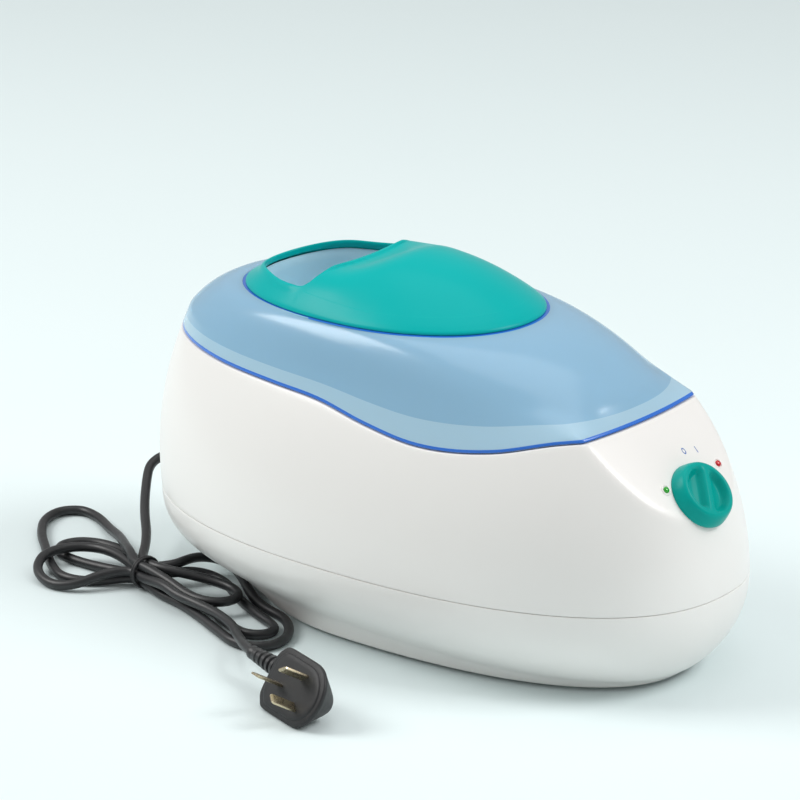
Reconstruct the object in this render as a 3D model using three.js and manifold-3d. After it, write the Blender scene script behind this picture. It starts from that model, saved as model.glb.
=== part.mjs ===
// A salon paraffin wax bath: an egg-shaped two-part housing round a heated wax tank, with a lift-off lid,
// a domed handle cap, a rotary thermostat on a sloping front panel, and a mains lead with a flat plug.
// Millimetres, +Z up, +X to the control panel, the plane y = 0 is the body's plane of symmetry.
import * as THREE from "three";
import { mergeVertices } from "three/addons/utils/BufferGeometryUtils.js";
import Module from "manifold-3d";

const wasm = await Module();
wasm.setup();

// ---------------------------------------------------------------- driving dimensions
const GAP = 0.3; // between pieces that touch
const WALL = 2.5; // moulded plastic
const STEPS = 40; // points round an egg-shaped section
const TURN = 2 * Math.PI;

// The body's plan is an egg: a superellipse with a longer front half.
const DATUM_X = 4.15; // moves everything so that the body and knob are centred on x = 0
const WIDEST_X = -15.2;
const FRONT_REACH = 204.1;
const REAR_REACH = 180.9;
const HALF_WIDTH = 108.1;
const PLAN_POWER = 2.3;

// Heights of the body.
const BASE_Z = 2;
const SEAM_Z = 56;
const SHOULDER_Z = 150;
const CREASE_REAR_Z = 24;
const CREASE_FRONT_Z = 6;
const HALF_LENGTH = 190;

// How far each section is drawn in from the seam's outline.
const SHOULDER_INSET = { front: 27.2, rear: 6.7, side: 27.9 };
const WALL_BULGE = 6.2;
const CREASE_INSET = { front: 21.7, rear: 6, side: 24.7 };
const CREASE_POWER = 2.3;
const PLINTH_INSET = { front: 7.5, rear: 69.9, side: 5.2 };
const PLINTH_POWER = 0.6;

// The control panel: a slightly crowned facet across the front.
const PANEL = { x: 173, z: 112.7, tilt: 0.731, crownUp: 392, crownAcross: 330 };

// The line where the lid meets the body, as heights along the body.
const LID_LINE = [
  [-196, 148.5], [-175, 147.7], [-120, 146.4], [-70, 145.9], [-35, 144.6],
  [0, 139], [40, 134.6], [85, 138.3], [120, 146.5], [150, 149.7], [196, 150],
];
const LID_GAP = 0.8;
const LIP_STEP = 3.4; // the lip stands in from the wall by the lid's thickness and a little clearance
const LIP_HEIGHT = 10.5;
const LIP_FRONT_HEIGHT = 3.5;
const LIP_WIDTH = 6;

// Lid.
const LID_WALL = 2.4;
const FOLD = { x: WIDEST_X, front: 140, rear: 168.5, half: 76, power: 2.4, z: 161.5, slope: 0 };
const CAP_RIM = { x: -37.7, front: 89, rear: 107, half: 62, power: 2.12, z: 186, slope: 0.03 };
const DOME_BULGE = 5.5;
const RECESS_DEPTH = 24;
const RECESS_INSET = 12;
const CAP_CROWN = 29.2;
const CAP_REAR_FALL = 17; // how much lower the crown is at the rear tip
const CAP_DIP = 11.5; // how far the dome dips behind its crest
const CAP_EDGE = 1.6; // thickness of the cap at its rim
const CAP_WALL = 2.6;

// Tank and what is clamped under it.
const MOUTH = { x: -32, front: 106, rear: 106, half: 64, power: 2.6 };
const MOUTH_Z = 132;
const MOUTH_DEPTH = 5.5;
const TANK_RIM_Z = 124.1;
const TANK_FLANGE = 7;
const TANK_WALL = 1.5;
const TANK_BOTTOM_Z = 30;
const TANK_DRAFT = 9;
const GRID_Z = 42;

// Control on the panel.
const KNOB_RADIUS = 19.8;
const KNOB_HEIGHT = 11;
const SHAFT_RADIUS = 3;

// Mains lead.
const CORD_RADIUS = 2.9;
const CORD_SIDES = 8;
const GLAND = { x: -194, y: 6, z: 45 };
// The free lead's drop from the gland to the tied bundle, chosen by hand.
const DROP_ROUTE = [
  [-190, 6, 45], [-204, 6, 45], [-217.5, 6, 45], [-224.5, 3, 44.4], [-228, -3, 43], [-227.8, -10.5, 40.5],
  [-223.5, -18, 37.5], [-217, -27, 33], [-209, -37, 29], [-200, -47, 24.5], [-190, -57, 20.5],
  [-183, -65, 18], [-178.4, -70.4, 17],
];
// Its last run, from the bundle to the plug.
const TAIL_ROUTE = [
  [-142, -99, 12], [-125, -104, 11], [-108, -105, 9.6], [-89, -109, 9.5], [-71, -117, 9.5],
  [-58, -127.5, 10.5], [-47, -137, 13], [-37, -146, 15.8], [-25.6, -152.5, 16.5],
];
const BUNDLE_TOP = 6.1;
const NECK = { x: -164, y: -87, z: 10.4, radius: 8.6, half: 21, heading: -0.25 };
// Outlines of the flat loops on each side of the tie.
const LEFT_LOOPS = [
  [-176, -76], [-196, -55], [-236, -33], [-264, -19], [-281, -21], [-287, -34], [-283, -52], [-262, -74],
  [-240, -95], [-226, -119], [-206, -122], [-184, -113], [-172, -97],
];
const RIGHT_LOOPS = [
  [-152, -97], [-127, -103], [-84, -121], [-60, -128], [-45, -121], [-42, -109], [-52, -95], [-70, -80],
  [-86, -71.5], [-104, -62], [-122, -50], [-140, -43], [-152, -50], [-152, -80],
];

// The plug lies on its tapered side, so its face leans.
const PLUG = { x: 29, y: -181, z: 17.7, length: 54, width: 38, depth: 18, lean: 0.54, heading: -0.32 };
const RELIEF_LENGTH = 30;
const PLUG_ENTRY = 4; // how far the lead enters above the plug's middle line
const PINS = [
  { name: "plug_pin_live", x: 6, y: 8.5, turn: 0.6, length: 18 },
  { name: "plug_pin_neutral", x: 9, y: -8.5, turn: -0.6, length: 18 },
  { name: "plug_pin_earth", x: -12, y: -2, turn: 0, length: 20 },
];

// ---------------------------------------------------------------- colours
function plastic(color, roughness) {
  return new THREE.MeshStandardMaterial({ color, roughness, metalness: 0 });
}
function metal(color, roughness) {
  return new THREE.MeshStandardMaterial({ color, roughness, metalness: 1 });
}
const WHITE = plastic(0xeeeeea, 0.35);
const TEAL = plastic(0x0fb3a6, 0.35);
const BLUE = new THREE.MeshStandardMaterial({
  color: 0x5f9fe0, roughness: 0.15, metalness: 0, transparent: true, opacity: 0.5,
});
const BLACK = plastic(0x17181a, 0.5);
const RUBBER = plastic(0x2b2c2e, 0.8);
const SILICONE = plastic(0xd8d8d2, 0.6);
const GREEN = plastic(0x2f9e2a, 0.15);
const RED = plastic(0xc01018, 0.15);
const ALUMINIUM = metal(0xb9bcc0, 0.35);
const STEEL = metal(0xa3a5a8, 0.3);
const BRIGHT = metal(0xd6d6d2, 0.2);
const BRASS = metal(0xb08d4a, 0.35);
const MICA = plastic(0xb59a6a, 0.7);
const FIBRE = plastic(0xe2dccb, 0.95);
const BAKELITE = plastic(0x3a2a20, 0.5);

// ---------------------------------------------------------------- solids
function clean(geometry) {
  const g = geometry.clone();
  g.deleteAttribute("normal");
  g.deleteAttribute("uv");
  return mergeVertices(g, 1e-4);
}
function solid(geometry) {
  const g = clean(geometry);
  return new wasm.Manifold(
    new wasm.Mesh({
      numProp: 3,
      vertProperties: new Float32Array(g.attributes.position.array),
      triVerts: new Uint32Array(g.index.array),
    }),
  );
}
function geometryOf(manifold) {
  const mesh = manifold.getMesh();
  return new THREE.BufferGeometry()
    .setAttribute("position", new THREE.BufferAttribute(new Float32Array(mesh.vertProperties), 3))
    .setIndex(new THREE.BufferAttribute(new Uint32Array(mesh.triVerts), 1));
}
function cut(base, ...tools) {
  return geometryOf(tools.reduce((body, tool) => body.subtract(solid(tool)), solid(base)));
}
function join(base, ...others) {
  return geometryOf(others.reduce((body, other) => body.add(solid(other)), solid(base)));
}
function common(a, b) {
  return geometryOf(solid(a).intersect(solid(b)));
}

const root = new THREE.Group();
root.position.x = DATUM_X;
function add(name, geometry, material, parent = root) {
  const mesh = new THREE.Mesh(geometry, material);
  mesh.name = name;
  parent.add(mesh);
  return mesh;
}

// ---------------------------------------------------------------- lofted sections
function power(value, exponent) {
  return Math.sign(value) * Math.abs(value) ** exponent;
}
function eggPoint(angle, egg, grow = 0) {
  const c = power(Math.cos(angle), 2 / egg.power);
  const s = power(Math.sin(angle), 2 / egg.power);
  const reach = (c >= 0 ? egg.front : egg.rear) + grow;
  return [egg.x + reach * c, (egg.half + grow) * s];
}
// A ring of points; pointAt(angle) gives each one as a Vector3.
function ring(pointAt) {
  return Array.from({ length: STEPS }, (_, i) => pointAt((TURN * i) / STEPS));
}
function eggRing(egg, z, grow = 0) {
  return ring((angle) => {
    const [x, y] = eggPoint(angle, egg, grow);
    return new THREE.Vector3(x, y, z + (egg.slope ?? 0) * x);
  });
}
function mixRings(a, b, share, lift = 0) {
  return a.map((p, i) => {
    const q = p.clone().lerp(b[i], share);
    q.z += lift * 4 * share * (1 - share);
    return q;
  });
}
// A closed surface through the rings in order. Without caps, the last ring joins the first.
function loft(rings, capped) {
  const positions = rings.flat().flatMap((p) => [p.x, p.y, p.z]);
  const index = [];
  const spans = capped ? rings.length - 1 : rings.length;
  for (let r = 0; r < spans; r++) {
    const a = r * STEPS;
    const b = ((r + 1) % rings.length) * STEPS;
    for (let i = 0; i < STEPS; i++) {
      const j = (i + 1) % STEPS;
      index.push(a + i, a + j, b + j, a + i, b + j, b + i);
    }
  }
  if (capped) {
    [0, rings.length - 1].forEach((r, last) => {
      const centre = rings[r].reduce((sum, p) => sum.add(p), new THREE.Vector3()).divideScalar(STEPS);
      const hub = positions.length / 3;
      positions.push(centre.x, centre.y, centre.z);
      for (let i = 0; i < STEPS; i++) {
        const j = (i + 1) % STEPS;
        const [p, q] = last ? [r * STEPS + i, r * STEPS + j] : [r * STEPS + j, r * STEPS + i];
        index.push(hub, p, q);
      }
    });
  }
  return new THREE.BufferGeometry()
    .setAttribute("position", new THREE.Float32BufferAttribute(positions, 3))
    .setIndex(index);
}

// ---------------------------------------------------------------- the body's outer surface
function lidLine(x) {
  const next = LID_LINE.findIndex(([station]) => station > x);
  if (next <= 0) return LID_LINE[next === 0 ? 0 : LID_LINE.length - 1][1];
  const [x0, z0] = LID_LINE[next - 1];
  const [x1, z1] = LID_LINE[next];
  const t = (x - x0) / (x1 - x0);
  return z0 + (z1 - z0) * t * t * (3 - 2 * t) * 0.5 + (z1 - z0) * t * 0.5;
}
// The lip behind the line is lower at the front, where the lid's skirt slopes more.
function lipTop(x) {
  return lidLine(x) + THREE.MathUtils.lerp(LIP_HEIGHT, LIP_FRONT_HEIGHT, THREE.MathUtils.smoothstep(x, 50, 115));
}
function creaseZ(x) {
  const share = (THREE.MathUtils.clamp(x, -HALF_LENGTH, HALF_LENGTH) + HALF_LENGTH) / (2 * HALF_LENGTH);
  return THREE.MathUtils.lerp(CREASE_REAR_Z, CREASE_FRONT_Z, share);
}
function inset(side, z, crease) {
  if (z >= SEAM_Z) {
    const s = (z - SEAM_Z) / (SHOULDER_Z - SEAM_Z);
    return s * SHOULDER_INSET[side] - 4 * WALL_BULGE * s * (1 - s);
  }
  const down = Math.min(1, (SEAM_Z - z) / (SEAM_Z - crease));
  const below = Math.max(0, (crease - z) / (crease - BASE_Z));
  return CREASE_INSET[side] * down ** CREASE_POWER + PLINTH_INSET[side] * below ** PLINTH_POWER;
}
function panelX(y, z) {
  const up = (z - PANEL.z) / Math.cos(PANEL.tilt);
  const crown = (y * y) / (2 * PANEL.crownAcross) + (up * up) / (2 * PANEL.crownUp);
  return PANEL.x - Math.tan(PANEL.tilt) * (z - PANEL.z) - crown / Math.cos(PANEL.tilt);
}
// A point on the body, depth mm under its skin, at the height that heightAt gives for its place.
function bodyPoint(angle, heightAt, depth) {
  const point = new THREE.Vector3(WIDEST_X + FRONT_REACH * Math.cos(angle), 0, 0);
  for (let pass = 0; pass < 5; pass++) {
    point.z = heightAt(point.x);
    const crease = creaseZ(point.x);
    const egg = {
      x: WIDEST_X,
      front: FRONT_REACH - inset("front", point.z, crease) - depth,
      rear: REAR_REACH - inset("rear", point.z, crease) - depth,
      half: HALF_WIDTH - inset("side", point.z, crease) - depth,
      power: PLAN_POWER,
    };
    const [x, y] = eggPoint(angle, egg);
    point.x = Math.min(x, panelX(y, point.z) - depth / Math.cos(PANEL.tilt));
    point.y = y;
  }
  return point;
}
function bodyRing(heightAt, depth = 0) {
  const at = typeof heightAt === "number" ? () => heightAt : heightAt;
  return ring((angle) => bodyPoint(angle, at, depth));
}
const reverse = (rings) => [...rings].reverse();

// ---------------------------------------------------------------- small shared shapes
function rod(radius, from, to, sides = 16) {
  const axis = new THREE.Vector3().subVectors(to, from);
  const g = new THREE.CylinderGeometry(radius, radius, axis.length(), sides);
  g.applyQuaternion(
    new THREE.Quaternion().setFromUnitVectors(new THREE.Vector3(0, 1, 0), axis.clone().normalize()),
  );
  const middle = new THREE.Vector3().addVectors(from, to).multiplyScalar(0.5);
  return g.translate(middle.x, middle.y, middle.z);
}
function upright(radius, x, y, z0, z1, sides = 16) {
  return rod(radius, new THREE.Vector3(x, y, z0), new THREE.Vector3(x, y, z1), sides);
}
// A turned piece standing on the +Z axis; the profile is [radius, height] pairs from the lowest axis point up.
function turned(profile, sides = 20) {
  const points = profile.map(([r, z]) => new THREE.Vector2(r, z));
  return new THREE.LatheGeometry(points, sides).rotateX(Math.PI / 2);
}
function block(x0, x1, y0, y1, z0, z1) {
  return new THREE.BoxGeometry(x1 - x0, y1 - y0, z1 - z0)
    .translate((x0 + x1) / 2, (y0 + y1) / 2, (z0 + z1) / 2);
}
function prism(points, z0, z1) {
  const shape = new THREE.Shape(points.map(([x, y]) => new THREE.Vector2(x, y)));
  return new THREE.ExtrudeGeometry(shape, { depth: z1 - z0, bevelEnabled: false }).translate(0, 0, z0);
}

// ---------------------------------------------------------------- places of fasteners
const TOWERS = [
  { x: -160, y: -36, seat: 30 },
  { x: -160, y: 36, seat: 30 },
  { x: 96, y: -50, seat: 10 },
  { x: 96, y: 50, seat: 10 },
];
const TOWER_RADIUS = 4.5;
const SCREW_HEAD_RADIUS = 3.5;
const SCREW_HEAD = 2.4;
const SCREW_RADIUS = 1.7;
const FEET = [[-85, -38], [-85, 38], [120, -34], [120, 34]];
const FOOT_RADIUS = 8;
const FOOT_STEM = 2.5;

// ---------------------------------------------------------------- control panel's own frame
// Its +Z is the panel's outward normal, +X runs across the panel and +Y up it.
const panel = new THREE.Group();
panel.position.set(PANEL.x, 0, PANEL.z);
panel.quaternion.setFromRotationMatrix(
  new THREE.Matrix4().makeBasis(
    new THREE.Vector3(0, 1, 0),
    new THREE.Vector3(-Math.sin(PANEL.tilt), 0, Math.cos(PANEL.tilt)),
    new THREE.Vector3(Math.cos(PANEL.tilt), 0, Math.sin(PANEL.tilt)),
  ),
);
panel.updateMatrix();
function onPanel(geometry) {
  return geometry.applyMatrix4(panel.matrix);
}
const LENSES = [
  { colour: "green", x: -21, y: 11, material: GREEN },
  { colour: "red", x: 30, y: 12.5, material: RED },
];
const LENS_RADIUS = 1.9;
function panelSag(x, y) {
  return (x * x) / (2 * PANEL.crownAcross) + (y * y) / (2 * PANEL.crownUp);
}

// ---------------------------------------------------------------- lower housing
function lowerHousing() {
  const top = SEAM_Z - GAP / 2;
  const outer = [
    bodyRing(BASE_Z),
    bodyRing((x) => THREE.MathUtils.lerp(BASE_Z, creaseZ(x), 0.45)),
    bodyRing((x) => creaseZ(x)),
    bodyRing((x) => THREE.MathUtils.lerp(creaseZ(x), top, 0.4)),
    bodyRing(top),
  ];
  const inner = [
    bodyRing(top, WALL),
    bodyRing((x) => THREE.MathUtils.lerp(creaseZ(x), top, 0.5), WALL),
    bodyRing((x) => creaseZ(x) + 3, WALL + 1.5),
    bodyRing(BASE_Z, WALL + 2).map((p) => p.setZ(BASE_Z + WALL)),
  ];
  let body = loft([...outer, ...inner], true);
  const bosses = TOWERS.map((t) => upright(7, t.x, t.y, BASE_Z + 1, t.seat + 3));
  const hull = loft(outer, true);
  body = join(body, ...bosses.map((boss) => common(boss, hull)));
  const holes = TOWERS.flatMap((t) => [
    upright(SCREW_HEAD_RADIUS + 0.7, t.x, t.y, -1, t.seat - 2),
    upright(SCREW_RADIUS + 0.5, t.x, t.y, -1, t.seat + 5),
  ]);
  const stems = FEET.map(([x, y]) => upright(FOOT_STEM + GAP, x, y, -1, BASE_Z + 8));
  const gland = rod(
    6.3, new THREE.Vector3(GLAND.x - 12, GLAND.y, GLAND.z), new THREE.Vector3(GLAND.x + 15, GLAND.y, GLAND.z),
  );
  return cut(body, ...holes, ...stems, gland);
}

// ---------------------------------------------------------------- upper housing
function upperHousing() {
  const bottom = SEAM_Z + GAP / 2;
  const lipIn = LIP_STEP + LIP_WIDTH;
  const outer = [
    bodyRing(bottom),
    bodyRing(90),
    bodyRing(120),
    bodyRing((x) => lidLine(x)),
    bodyRing((x) => lidLine(x), LIP_STEP),
    bodyRing((x) => lipTop(x), LIP_STEP + 1.7),
    bodyRing((x) => lipTop(x), lipIn),
    eggRing(MOUTH, MOUTH_Z),
  ];
  const inner = [
    eggRing(MOUTH, MOUTH_Z - MOUTH_DEPTH),
    eggRing(MOUTH, MOUTH_Z - MOUTH_DEPTH, WALL),
    eggRing(MOUTH, MOUTH_Z - WALL, WALL),
    bodyRing((x) => lipTop(x) - WALL - 0.6, lipIn + 0.4),
    bodyRing((x) => lipTop(x) - WALL, LIP_STEP + WALL + 1.2),
    bodyRing((x) => lidLine(x) - WALL, LIP_STEP + WALL),
    bodyRing((x) => lidLine(x) - WALL - 1, WALL),
    bodyRing(120, WALL),
    bodyRing(90, WALL),
    bodyRing(bottom, WALL),
  ];
  let body = loft([...outer, ...inner], false);
  const inside = loft(
    [
      bodyRing(8, 4),
      bodyRing(bottom, 1),
      bodyRing(124, 1),
      bodyRing((x) => lidLine(x) - 1, 1),
      bodyRing((x) => lipTop(x) - 1, lipIn),
      eggRing(MOUTH, MOUTH_Z - 1),
    ],
    true,
  );
  const towers = TOWERS.map((t) => common(upright(TOWER_RADIUS, t.x, t.y, t.seat + 3 + GAP, 160), inside));
  body = join(body, ...towers);
  const pilots = TOWERS.map((t) => upright(SCREW_RADIUS + GAP, t.x, t.y, t.seat, t.seat + 18));
  const knobHole = onPanel(turned([[0, -9], [5.4, -9], [5.4, 9], [0, 9]]));
  const lensHoles = LENSES.map((l) =>
    onPanel(turned([[0, -9], [LENS_RADIUS + GAP, -9], [LENS_RADIUS + GAP, 9], [0, 9]], 16).translate(l.x, l.y, 0)),
  );
  return cut(body, ...pilots, knobHole, ...lensHoles);
}

// ---------------------------------------------------------------- lid and its handle cap
function domeRings(depth, count) {
  const low = eggRing(FOLD, FOLD.z - depth * 0.6, -depth * 0.8);
  const high = eggRing(CAP_RIM, CAP_RIM.z - depth, depth * 0.4);
  return Array.from({ length: count + 1 }, (_, i) => mixRings(low, high, i / count, DOME_BULGE));
}
function lid() {
  const edge = (depth) => bodyRing((x) => lidLine(x) + LID_GAP, depth);
  const half = (depth) => mixRings(edge(depth), eggRing(FOLD, FOLD.z - depth * 0.6, -depth * 0.8), 0.5);
  const floorZ = CAP_RIM.z - RECESS_DEPTH;
  const recess = [
    eggRing(CAP_RIM, CAP_RIM.z, -2.6),
    eggRing(CAP_RIM, CAP_RIM.z - 2.4, -2.6),
    eggRing(CAP_RIM, CAP_RIM.z - 2.4, -5),
    eggRing(CAP_RIM, floorZ + 6, -RECESS_INSET + 2),
    eggRing(CAP_RIM, floorZ, -RECESS_INSET - 4),
  ];
  const under = [
    eggRing(CAP_RIM, floorZ - LID_WALL, -RECESS_INSET - 4),
    eggRing(CAP_RIM, floorZ + 5, -RECESS_INSET + 2 + LID_WALL),
    eggRing(CAP_RIM, CAP_RIM.z - 2.4 - LID_WALL - 1.5, -2.2),
  ];
  const outer = [edge(0), half(0), ...domeRings(0, 4)];
  const inner = [edge(LID_WALL), half(LID_WALL), ...domeRings(LID_WALL, 4).slice(0, 4)];
  return loft([...under, ...reverse(inner), ...outer, ...recess], true);
}
// Height of the cap above its edge: a dome that flattens and dips towards the finger opening behind it.
function capHeight(x, share) {
  const flatness = 2 + THREE.MathUtils.smoothstep(-x, 20, 70) + THREE.MathUtils.smoothstep(-x, 90, 130);
  const crown = CAP_CROWN - CAP_REAR_FALL * THREE.MathUtils.smoothstep(-x, 105, 150);
  const rise = 1 - share ** flatness;
  return crown * rise - CAP_DIP * THREE.MathUtils.smoothstep(-x, 22, 64) * rise ** 4;
}
function capRing(share, drop) {
  const egg = {
    ...CAP_RIM,
    front: CAP_RIM.front * share,
    rear: CAP_RIM.rear * share,
    half: CAP_RIM.half * share,
  };
  return ring((angle) => {
    const [x, y] = eggPoint(angle, egg);
    const edge = CAP_RIM.z + CAP_RIM.slope * x + GAP + CAP_EDGE;
    return new THREE.Vector3(x, y, edge + capHeight(x, share) - drop);
  });
}
// The finger opening at the rear of the cap: the rim's own curve, closed by a gentle front edge.
const FINGER_EDGE_X = -70;
const FINGER_SHARE = 0.885;
function fingerOpening() {
  const points = [];
  const edge = { ...CAP_RIM, front: CAP_RIM.front * FINGER_SHARE, rear: CAP_RIM.rear * FINGER_SHARE,
    half: CAP_RIM.half * FINGER_SHARE };
  for (let i = 0; i <= 40; i++) {
    const [x, y] = eggPoint(Math.PI / 2 + (Math.PI * i) / 40, edge);
    if (x < FINGER_EDGE_X) points.push([x, y]);
  }
  const reach = Math.abs(points[0][1]);
  for (let i = 1; i < 8; i++) {
    const y = -reach + (2 * reach * i) / 8;
    points.push([FINGER_EDGE_X + 5 * (1 - (y / reach) ** 4), y]);
  }
  return points;
}
function handleCap() {
  const shares = [0.92, 0.8, 0.62, 0.4, 0.12];
  const top = [1, ...shares].map((s) => capRing(s, 0));
  const under = shares.map((s) => capRing(s, CAP_WALL));
  const seat = CAP_RIM.z + GAP;
  const spigot = [
    eggRing(CAP_RIM, seat - 2, -4.6),
    eggRing(CAP_RIM, seat - 2, -3),
    eggRing(CAP_RIM, seat, -3),
    eggRing(CAP_RIM, seat),
  ];
  const shell = loft([...reverse(under), ...spigot, ...top], true);
  return cut(shell, prism(fingerOpening(), CAP_RIM.z - 20, CAP_RIM.z + 60));
}

// ---------------------------------------------------------------- wax tank
function tankEgg(grow) {
  return { ...MOUTH, front: MOUTH.front + grow, rear: MOUTH.rear + grow, half: MOUTH.half + grow };
}
function tank() {
  const rim = TANK_RIM_Z;
  const z0 = TANK_BOTTOM_Z;
  const inner = [
    eggRing(tankEgg(-TANK_DRAFT - 8), z0 + TANK_WALL),
    eggRing(tankEgg(-TANK_DRAFT - 1.5), z0 + TANK_WALL + 4),
    eggRing(tankEgg(-TANK_DRAFT + 0.5), z0 + 14),
    eggRing(tankEgg(0.6), rim - 3),
    eggRing(tankEgg(1.4), rim),
  ];
  const outer = [
    eggRing(tankEgg(TANK_FLANGE), rim),
    eggRing(tankEgg(TANK_FLANGE), rim - TANK_WALL),
    eggRing(tankEgg(0.6 + TANK_WALL), rim - 3.5),
    eggRing(tankEgg(-TANK_DRAFT + 0.5 + TANK_WALL), z0 + 14),
    eggRing(tankEgg(-TANK_DRAFT - 1.5 + TANK_WALL), z0 + 3),
    eggRing(tankEgg(-TANK_DRAFT - 8), z0),
  ];
  const shell = loft([...inner, ...outer].reverse(), true);
  const studs = STUDS.map(([x, y]) => upright(2, x, y, 14, z0 + 0.8, 12));
  return join(shell, ...studs);
}
const STUDS = [[-92, 0], [28, 0]];
function underTank(grow, z0, z1) {
  const plate = loft([eggRing(tankEgg(grow), z0), eggRing(tankEgg(grow), z1)], true);
  return cut(plate, ...STUDS.map(([x, y]) => upright(2.4, x, y, z0 - 5, z1 + 5, 12)));
}
function hexNut(radius, bore, x, y, z0, z1) {
  return cut(upright(radius, x, y, z0, z1, 6), upright(bore, x, y, z0 - 1, z1 + 1, 16));
}

// A round-ended grid with long slots, which keeps hands off the hot tank floor.
function grid() {
  const z1 = GRID_Z + 3;
  const plate = loft([eggRing(tankEgg(-12), GRID_Z), eggRing(tankEgg(-12), z1)], true);
  const slots = [];
  for (let row = -3; row <= 3; row++) {
    const y = row * 13;
    const half = 84 - Math.abs(row) * 11;
    slots.push(block(MOUTH.x - half, MOUTH.x - 4, y - 4, y + 4, GRID_Z - 1, z1 + 1));
    slots.push(block(MOUTH.x + 4, MOUTH.x + half, y - 4, y + 4, GRID_Z - 1, z1 + 1));
  }
  const legs = [[-86, 0], [86, 0], [-50, -40], [50, -40], [-50, 40], [50, 40]].map(([x, y]) =>
    upright(3, MOUTH.x + x, y, TANK_BOTTOM_Z + TANK_WALL + 0.5, GRID_Z + 1, 10),
  );
  return join(cut(plate, ...slots), ...legs);
}

// ---------------------------------------------------------------- control parts
function knob() {
  const h = KNOB_HEIGHT;
  const r = KNOB_RADIUS;
  const body = turned([
    [0, 4], [10, 4], [10, 0.9], [r - 0.6, 0.9], [r, 1.6], [r - 0.6, 4], [r - 3.6, h - 1.2], [r - 4.8, h - 0.3],
    [r - 6, h], [0, h],
  ], 40);
  const scoops = [-1, 1].map((side) => {
    const points = [];
    for (let i = 0; i <= 12; i++) {
      const a = -1.15 + (2.3 * i) / 12;
      points.push([side * (r - 6) * Math.cos(a), (r - 6) * Math.sin(a)]);
    }
    for (let i = 1; i < 6; i++) {
      const y = 12.6 - (25.2 * i) / 6;
      points.push([side * (2.9 - 0.5 * Math.cos((y / 12.6) * 1.5)), y]);
    }
    return prism(side > 0 ? points : points.reverse(), 4.8, h + 2);
  });
  const bore = turned([[0, 0], [SHAFT_RADIUS + GAP, 0], [SHAFT_RADIUS + GAP, 7.2], [0, 7.2]], 24);
  return cut(body, ...scoops, bore);
}
function thermostat() {
  const body = turned([
    [0, -30], [15.5, -30], [17, -28.5], [17, -9.5], [15.5, -8], [5, -8], [5, 3.1], [0, 3.1],
  ], 24);
  const bracket = block(-19, 19, -4, 4, -12, -8.6);
  return cut(join(body, bracket), upright(SHAFT_RADIUS + GAP, 0, 0, -18, 9));
}
function shaft() {
  return turned([[0, -17], [SHAFT_RADIUS, -17], [SHAFT_RADIUS, 6.8], [0, 6.8]], 24);
}
function panelNut() {
  return hexNut(8.6, 5.3, 0, 0, 0.6, 2.7);
}
function lens(l) {
  const sag = panelSag(l.x, l.y);
  const r = LENS_RADIUS;
  return turned([
    [0, -7], [r, -7], [r, -5.5 - sag], [r, 0.3 - sag], [r * 0.75, 1 - sag], [r * 0.4, 1.35 - sag], [0, 1.5 - sag],
  ], 16);
}

// ---------------------------------------------------------------- electrical parts inside
function wire(points, radius) {
  const curve = new THREE.CatmullRomCurve3(points.map((p) => new THREE.Vector3(...p)));
  const section = new THREE.Shape();
  section.absarc(0, 0, radius, 0, TURN, false);
  return new THREE.ExtrudeGeometry(section, {
    steps: Math.max(8, points.length * 4), curveSegments: 6, bevelEnabled: false, extrudePath: curve,
  });
}

// ---------------------------------------------------------------- mains lead
function section(radius, sides) {
  return new THREE.Shape(
    Array.from({ length: sides }, (_, i) => {
      const a = (TURN * (i + 0.5)) / sides;
      return new THREE.Vector2(radius * Math.cos(a), radius * Math.sin(a));
    }),
  );
}
function tube(route, radius, sides, step) {
  const curve = new THREE.CatmullRomCurve3(route.map((p) => new THREE.Vector3(...p)), false, "centripetal");
  return new THREE.ExtrudeGeometry(section(radius, sides), {
    steps: Math.ceil(curve.getLength() / step), bevelEnabled: false, extrudePath: curve,
  });
}
function cordTube(route) {
  return tube(route, CORD_RADIUS, CORD_SIDES, CORD_RADIUS * 4);
}
function lead(route, radius) {
  return tube(route, radius, 6, radius * 7);
}
function neckPoint(along) {
  return new THREE.Vector3(
    NECK.x + along * Math.cos(NECK.heading), NECK.y + along * Math.sin(NECK.heading), NECK.z,
  );
}
function cordBundle() {
  const neck = rod(NECK.radius, neckPoint(-NECK.half), neckPoint(NECK.half), 20);
  return join(neck, prism(LEFT_LOOPS, GAP, BUNDLE_TOP), prism(RIGHT_LOOPS, GAP, BUNDLE_TOP));
}
function twistTie() {
  const outer = rod(NECK.radius + 1.7, neckPoint(-1.2), neckPoint(1.2), 24);
  const inner = rod(NECK.radius + 0.4, neckPoint(-3), neckPoint(3), 24);
  const ring3d = cut(outer, inner);
  return common(ring3d, block(-200, -120, -120, -50, 0.1, 40));
}
// The plug's frame: +Z out of its face, +X away from the lead.
const plug = new THREE.Group();
plug.position.set(PLUG.x, PLUG.y, PLUG.z);
plug.rotation.set(Math.PI / 2 - PLUG.lean, 0, PLUG.heading, "ZYX");
plug.updateMatrix();
function onPlug(geometry) {
  return geometry.applyMatrix4(plug.matrix);
}
function plugOutline(grow, z) {
  const l = PLUG.length / 2 + grow;
  const w = PLUG.width / 2 + grow;
  const points = [[-l, -w + 7], [-l + 6, -w], [l - 17, -w]];
  for (let i = 1; i < 8; i++) {
    const a = -Math.PI / 2 + (Math.PI * i) / 8;
    points.push([l - 17 + 17 * Math.cos(a), w * Math.sin(a)]);
  }
  points.push([l - 17, w], [-l + 6, w], [-l, w - 7]);
  return points.map(([x, y]) => new THREE.Vector3(x, y, z));
}
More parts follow.
